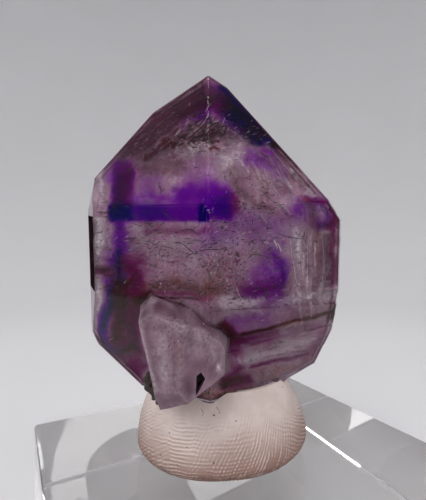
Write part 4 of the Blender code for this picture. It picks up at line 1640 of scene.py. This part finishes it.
def makeDarkLumps():
    bits = []
    for index, (place, size) in enumerate(lumpPlan["lumps"]):
        bm = bmesh.new()
        bmesh.ops.create_icosphere(bm, subdivisions=4, radius=size * mm)
        for vert in bm.verts:
            way = vert.co.normalized()
            coarse = noise.noise(way * 2.1 + Vector((index, 0, 0)))
            fine = noise.noise(way * 6 + Vector((0, index, 0)))
            vert.co *= 1 + lumpPlan["uneven"] * (coarse + 0.5 * fine)
        bmesh.ops.translate(bm, verts=bm.verts, vec=blockTop + Vector(place) * mm)
        bits.append(bitOf(bm))
    look = plainLook("lumpDark", (tone(14, 8, 9), tone(56, 42, 36)), 0.55, 1400.0)
    addBits("darkLumps", bits, look)
    print("crumbs done")


makeDarkLumps()


# Ball of mineral tack with the ribs of the fingers that pressed it
tackPlan = {
    "place": blockTop + Vector((-4.2, 4.2, 0)) * mm,
    "radius": 11.7 * mm,
    "height": 10.6 * mm,
    "foot": 0.77,
    "shoulder": 0.75,
    "belly": 0.26,
    "bulge": 2.4,
    "taper": 1.6,
    "dents": ((0.022, 2, 0.6, 0.0), (0.016, 3, 2.0, 2.0), (0.008, 5, 0.0, 4.0)),
    "around": 680,
    "rings": 118,
    "capRings": 15,
    "ribSpacing": 0.43,  # mm
    "ribDepth": 0.068 * mm,
    "ribTop": (0.52, 0.86),  # share of the height where the ribs fade out
    "ribWaves": ((4.5, 9.0), (1.6, 4.5), (0.7, 1.8)),  # size in mm and strength of the ribs' waves
    # finger marks: degrees round the ball, height of the middle and reach in mm, slant in degrees
    "prints": (
        (-120, 3.0, 11.0, 4), (-66, 3.5, 9.5, 62), (-14, 4.0, 9.5, -24), (45, 3.5, 10.5, 12),
        (100, 4.5, 10.0, -50), (150, 3.0, 10.5, 8), (-168, 4.0, 9.5, 34),
    ),
    "grain": ((1.1, 0.06), (0.35, 0.035)),  # size and depth of its roughness in mm
    "footComb": (0.36, 0.24),  # share of the height and depth in mm
    "lowShadeReach": (0.12, 0.80),  # share of the height over which the painted shade of the lower part ends
    "sharpest": 70,  # degrees between two faces that still look smooth
    "speckSize": (0.05, 0.12),
    "fibreThick": 0.035 * mm,
    "colours": (tone(194, 178, 172), tone(208, 194, 189)),
    # painted shade of the lower part
    "lowShadeColour": tone(136, 106, 96),
    # painted shade in the rib hollows and painted highlight on the rib crests
    "hollowShade": tone(122, 90, 80),
    "crestHighlight": tone(222, 209, 203),
}
# Dark specks and fibres on the ball, by pixel
tackSpecks = ((214, 415.3), (169.4, 433), (160.6, 455), (214, 463), (236, 421), (187, 447), (262, 441))
tackFibres = (
    ((201, 408), (203.5, 413)), ((203.5, 413), (202, 416)),
    ((216, 406), (219, 411)), ((219, 411), (220, 414)),
)


def tackProfile(height):
    if height < tackPlan["belly"]:
        rise = height / tackPlan["belly"]
        return tackPlan["foot"] + (1 - tackPlan["foot"]) * (1 - (1 - rise) ** tackPlan["bulge"])
    fall = (height - tackPlan["belly"]) / (1 - tackPlan["belly"])
    return 1 - (1 - tackPlan["shoulder"]) * fall ** tackPlan["taper"]


def pressDown(points, ways, reach):
    # Points inside a stone go straight down until they are out of it
    inside = reach - points @ ways.T
    held = (inside > 0).all(1)
    downward = ways[:, 2] < -1e-3
    drop = (inside[:, downward] / -ways[downward, 2]).min(1)
    points[:, 2] -= np.where(held, drop, 0)


def tackRibs(azimuth, height):
    # Height of the skin ribs, from -1 to 1: short wavy ridges, slanting another way in each finger mark
    ribs = np.zeros_like(azimuth)
    total = np.full_like(azimuth, 0.3)
    for turn, middle, reach, slant in tackPlan["prints"]:
        way = (azimuth - math.radians(turn) + math.pi) % (2 * math.pi) - math.pi
        u = way * tackPlan["radius"] / mm
        v = height / mm - middle
        tilt = math.radians(slant)
        along = u * math.cos(tilt) + v * math.sin(tilt)
        across = v * math.cos(tilt) - u * math.sin(tilt)
        shift = turn / 50
        wave = sum(strength * (cloud(u, v, size, shift) - 0.5) for size, strength in tackPlan["ribWaves"])
        share = np.clip(1 - np.hypot(u, v) / reach, 0, 1) ** 0.5
        broken = smoothStep(0.38, 0.56, cloud(along, across * 3, 1.8, 5 + turn / 70))
        ribs += share * (0.15 + 0.85 * broken) * np.sin(2 * math.pi * across / tackPlan["ribSpacing"] + wave)
        total += share
    low, high = tackPlan["ribTop"]
    return ribs / total * (1 - smoothStep(low, high, height / tackPlan["height"]))


def makeTack():
    around = tackPlan["around"]
    azimuths = np.arange(around) * 2 * math.pi / around
    u = azimuths * tackPlan["radius"] / mm
    comb = np.abs(np.sin(azimuths * 83 + 3 * np.sin(azimuths * 7)))
    footShare, footDepth = tackPlan["footComb"]
    rows = []
    marks = []
    for ring in range(tackPlan["rings"] + 1):
        height = ring / tackPlan["rings"]
        level = np.full(around, height * tackPlan["height"])
        lump = 1 + sum(s * np.sin(n * azimuths + start + twist * height)
                       for s, n, start, twist in tackPlan["dents"])
        ribs = tackRibs(azimuths, level)
        proud = footDepth * max(0.0, 1 - height / footShare) * comb
        for size, deep in tackPlan["grain"]:
            proud = proud + deep * (cloud(u, level / mm, size, 8 + size, 3) - 0.5)
        radius = tackPlan["radius"] * tackProfile(height) * lump + tackPlan["ribDepth"] * ribs + proud * mm
        rows.append(np.stack((radius * np.cos(azimuths), radius * np.sin(azimuths), pieceGap + level), 1))
        # painted shade: the lower part darker and warmer, ending at a wavy height
        low = 1 - smoothStep(*tackPlan["lowShadeReach"], height + 0.3 * (cloud(u, level / mm, 5.0, 3, 2) - 0.5))
        marks.append(np.stack((np.clip(0.5 + 0.5 * ribs, 0, 1), low, low * 0, low * 0 + 1), 1))
    rim = rows[-1]
    for ring in range(1, tackPlan["capRings"]):
        row = rim.copy()
        row[:, :2] *= 1 - ring / tackPlan["capRings"]
        rows.append(row)
        marks.append(np.tile((0.5, 0.0, 0.0, 1.0), (around, 1)))
    points = np.concatenate(rows) + np.array(tackPlan["place"])
    stone = (
        (headFaces(), headPlan["place"], headPlan["lean"]),
        (stemFaces(), headPlan["place"] + headPlan["stemShift"], headPlan["lean"]),
        (sidePlan["faces"], sidePlan["place"], Matrix.Identity(3)),
    )
    for _ in range(2):
        for faces, place, lean in stone:
            pressDown(points, *facePlanes(faces, place, lean, pieceGap * 0.5))
    bottom = tackPlan["place"][2] + pieceGap
    points[:, 2] = np.maximum(points[:, 2], bottom)
    count = len(rows)
    faces = []
    for ring in range(count - 1):
        for step in range(around):
            after = (step + 1) % around
            faces.append((ring * around + step, ring * around + after,
                          (ring + 1) * around + after, (ring + 1) * around + step))
    faces.append(tuple(reversed(range(around))))
    faces.append(tuple(range((count - 1) * around, count * around)))
    mesh = joinBits("tackBall", [(points.tolist(), faces)])
    writeValues(mesh, "marks", np.concatenate(marks))
    mesh.shade_smooth()
    mesh.set_sharp_from_angle(angle=math.radians(tackPlan["sharpest"]))
    dress(addPiece("tackBall", mesh, tackMaterial()), "mineral_tack")
    tree = treeOf(mesh)
    bits = grainsOn(tree, tackSpecks, tackPlan["speckSize"], 1.3)
    for spots in tackFibres:
        start, end = (tree.ray_cast(cameraPlan["place"], sightLine(x, y))[0] for x, y in spots)
        if start is not None and end is not None:
            bits.append(rod(start, end, tackPlan["fibreThick"]))
    dirt = plainLook("tackDirt", (tone(52, 34, 40), tone(96, 72, 78)), 0.6, 1500.0)
    addBits("tackSpecks", bits, dirt)
    print("tack:", len(mesh.polygons), "faces")


def tackMaterial():
    material, tree, shader = newMaterial("tackPutty")
    place = ownPlace(tree)
    ridge, low, _, _ = storedValues(tree, "marks")
    mottle = useGroup(tree, fibres, place, Scale=240.0, Detail=4.0, Low=0.35, High=0.65)
    grain = useGroup(tree, fibres, place, Scale=3200.0, Detail=2.0)
    dirt = useGroup(tree, specks, place, Scale=520.0, Size=0.085, Share=0.06)
    colour = blendColour(tree, mottle.outputs["Mask"], *tackPlan["colours"])
    # painted shade towards the bottom
    colour = blendColour(tree, low, colour, tackPlan["lowShadeColour"])
    # painted shade in the rib hollows and painted highlight on the rib crests, by the height of the ribs
    hollow = calc(tree, "MULTIPLY_ADD", ridge, -1.2, 0.60, clamp=True)
    colour = blendColour(tree, hollow, colour, tackPlan["hollowShade"])
    crest = calc(tree, "MULTIPLY_ADD", ridge, 1.6, -0.85, clamp=True)
    colour = blendColour(tree, crest, colour, tackPlan["crestHighlight"])
    colour = tint(tree, colour, dirt.outputs["Mask"], 0.7, tone(96, 70, 66))
    feed(tree, shader.inputs["Base Color"], colour)
    feed(tree, shader.inputs["Roughness"], calc(tree, "MULTIPLY_ADD", mottle.outputs["Mask"], 0.12, 0.72))
    bumpFrom(tree, shader, grain.outputs["Height"], 0.35, 0.04 * mm)
    setInputs(shader, {
        "Subsurface Weight": 0.25,
        "Subsurface Radius": (1.0, 0.7, 0.55),
        "Subsurface Scale": 0.6 * mm,
        "Specular IOR Level": 0.3,
    })
    return material


makeTack()


# Clear block: polished cast acrylic with hair scratches
acrylicLook = {
    "ior": 1.49,
    "roughness": (0.01, 0.22),
    "absorb": (0.93, 0.90, 0.89),
    "absorbDensity": 6.0,
}


def acrylicMaterial():
    material, tree, shader = newMaterial("castAcrylic")
    place = ownPlace(tree)
    scratch = useGroup(tree, fibres, place, Turn=(0, 0, 0.6), Stretch=(0.05, 1.0, 1.0), Scale=700.0,
                       Low=0.62, High=0.72)
    smudge = useGroup(tree, fibres, place, Scale=70.0, Detail=4.0, Low=0.5, High=0.75)
    low, high = acrylicLook["roughness"]
    faint = calc(tree, "MULTIPLY", smudge.outputs["Mask"], 0.35)
    marks = calc(tree, "MAXIMUM", scratch.outputs["Mask"], faint)
    feed(tree, shader.inputs["Roughness"], calc(tree, "MULTIPLY_ADD", marks, high - low, low))
    bumpFrom(tree, shader, scratch.outputs["Height"], 0.06, 0.02 * mm)
    setInputs(shader, {
        "Base Color": (1.0, 1.0, 1.0, 1.0),
        "Transmission Weight": 1.0,
        "IOR": acrylicLook["ior"],
    })
    absorbLight(tree, acrylicLook)
    return material


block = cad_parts["acrylic_base"]
block.data.materials.clear()
block.data.materials.append(acrylicMaterial())
print("block dressed")


# Studio: a round pale bowl and soft lights
studioPlan = {
    "floorLevel": -0.1 * mm,  # a hair under the block, so that their faces don't meet
    "floorRadius": 0.30,
    "bend": 0.75,
    "bendSteps": 16,
    "wallHeight": 1.3,
    "around": 96,
    "colour": (tone(215, 214, 216), tone(217, 216, 218)),
    "sky": (0.86, 0.87, 0.90),
    "skyStrength": 0.16,
    # softboxes: place, size in metres, power in watts
    "boxes": (
        ((-0.22, -0.50, 0.48), 0.50, 3.3),
        ((0.0, 0.05, 1.1), 0.50, 4.2),
        ((0.48, -0.42, 0.40), 0.40, 1.2),
    ),
}


def makeStudio():
    reach = studioPlan["floorRadius"]
    bend = studioPlan["bend"]
    profile = [(reach * share, 0.0) for share in (0.0, 0.25, 0.5, 0.75)]
    steps = studioPlan["bendSteps"]
    for step in range(steps + 1):
        angle = math.pi / 2 * step / steps
        profile.append((reach + bend * math.sin(angle), bend * (1 - math.cos(angle))))
    profile.append((reach + bend, studioPlan["wallHeight"]))
    around = studioPlan["around"]
    level = studioPlan["floorLevel"]
    points = [(0.0, 0.0, level)]
    for radius, height in profile[1:]:
        for step in range(around):
            angle = 2 * math.pi * step / around
            points.append((radius * math.cos(angle), radius * math.sin(angle), height + level))
    faces = [(0, 1 + step, 1 + (step + 1) % around) for step in range(around)]
    for ring in range(len(profile) - 2):
        base = 1 + ring * around
        for step in range(around):
            after = (step + 1) % around
            faces.append((base + step, base + around + step, base + around + after, base + after))
    mesh = joinBits("studioBowl", [(points, faces)])
    mesh.shade_smooth()
    bowl = addPiece("studioBowl", mesh, plainLook("paleCard", studioPlan["colour"], 0.75, 6.0))
    for index, (place, size, power) in enumerate(studioPlan["boxes"]):
        light = bpy.data.lights.new("softbox%d" % index, "AREA")
        light.shape = "DISK"
        light.size = size
        light.energy = power
        lamp = bpy.data.objects.new("softbox%d" % index, light)
        lamp.location = place
        lamp.rotation_euler = (headPlan["place"] - Vector(place)).to_track_quat("-Z", "Y").to_euler()
        bpy.context.scene.collection.objects.link(lamp)
    world = bpy.data.worlds.new("sky")
    world.use_nodes = True
    sky = world.node_tree.nodes["Background"]
    sky.inputs["Color"].default_value = (*studioPlan["sky"], 1.0)
    sky.inputs["Strength"].default_value = studioPlan["skyStrength"]
    bpy.context.scene.world = world


makeStudio()
scene = bpy.context.scene
scene.view_settings.view_transform = "Standard"
scene.cycles.max_bounces = 24
scene.cycles.diffuse_bounces = 8
scene.cycles.glossy_bounces = 16
scene.cycles.transmission_bounces = 16
scene.cycles.transparent_max_bounces = 40
print("studio done")
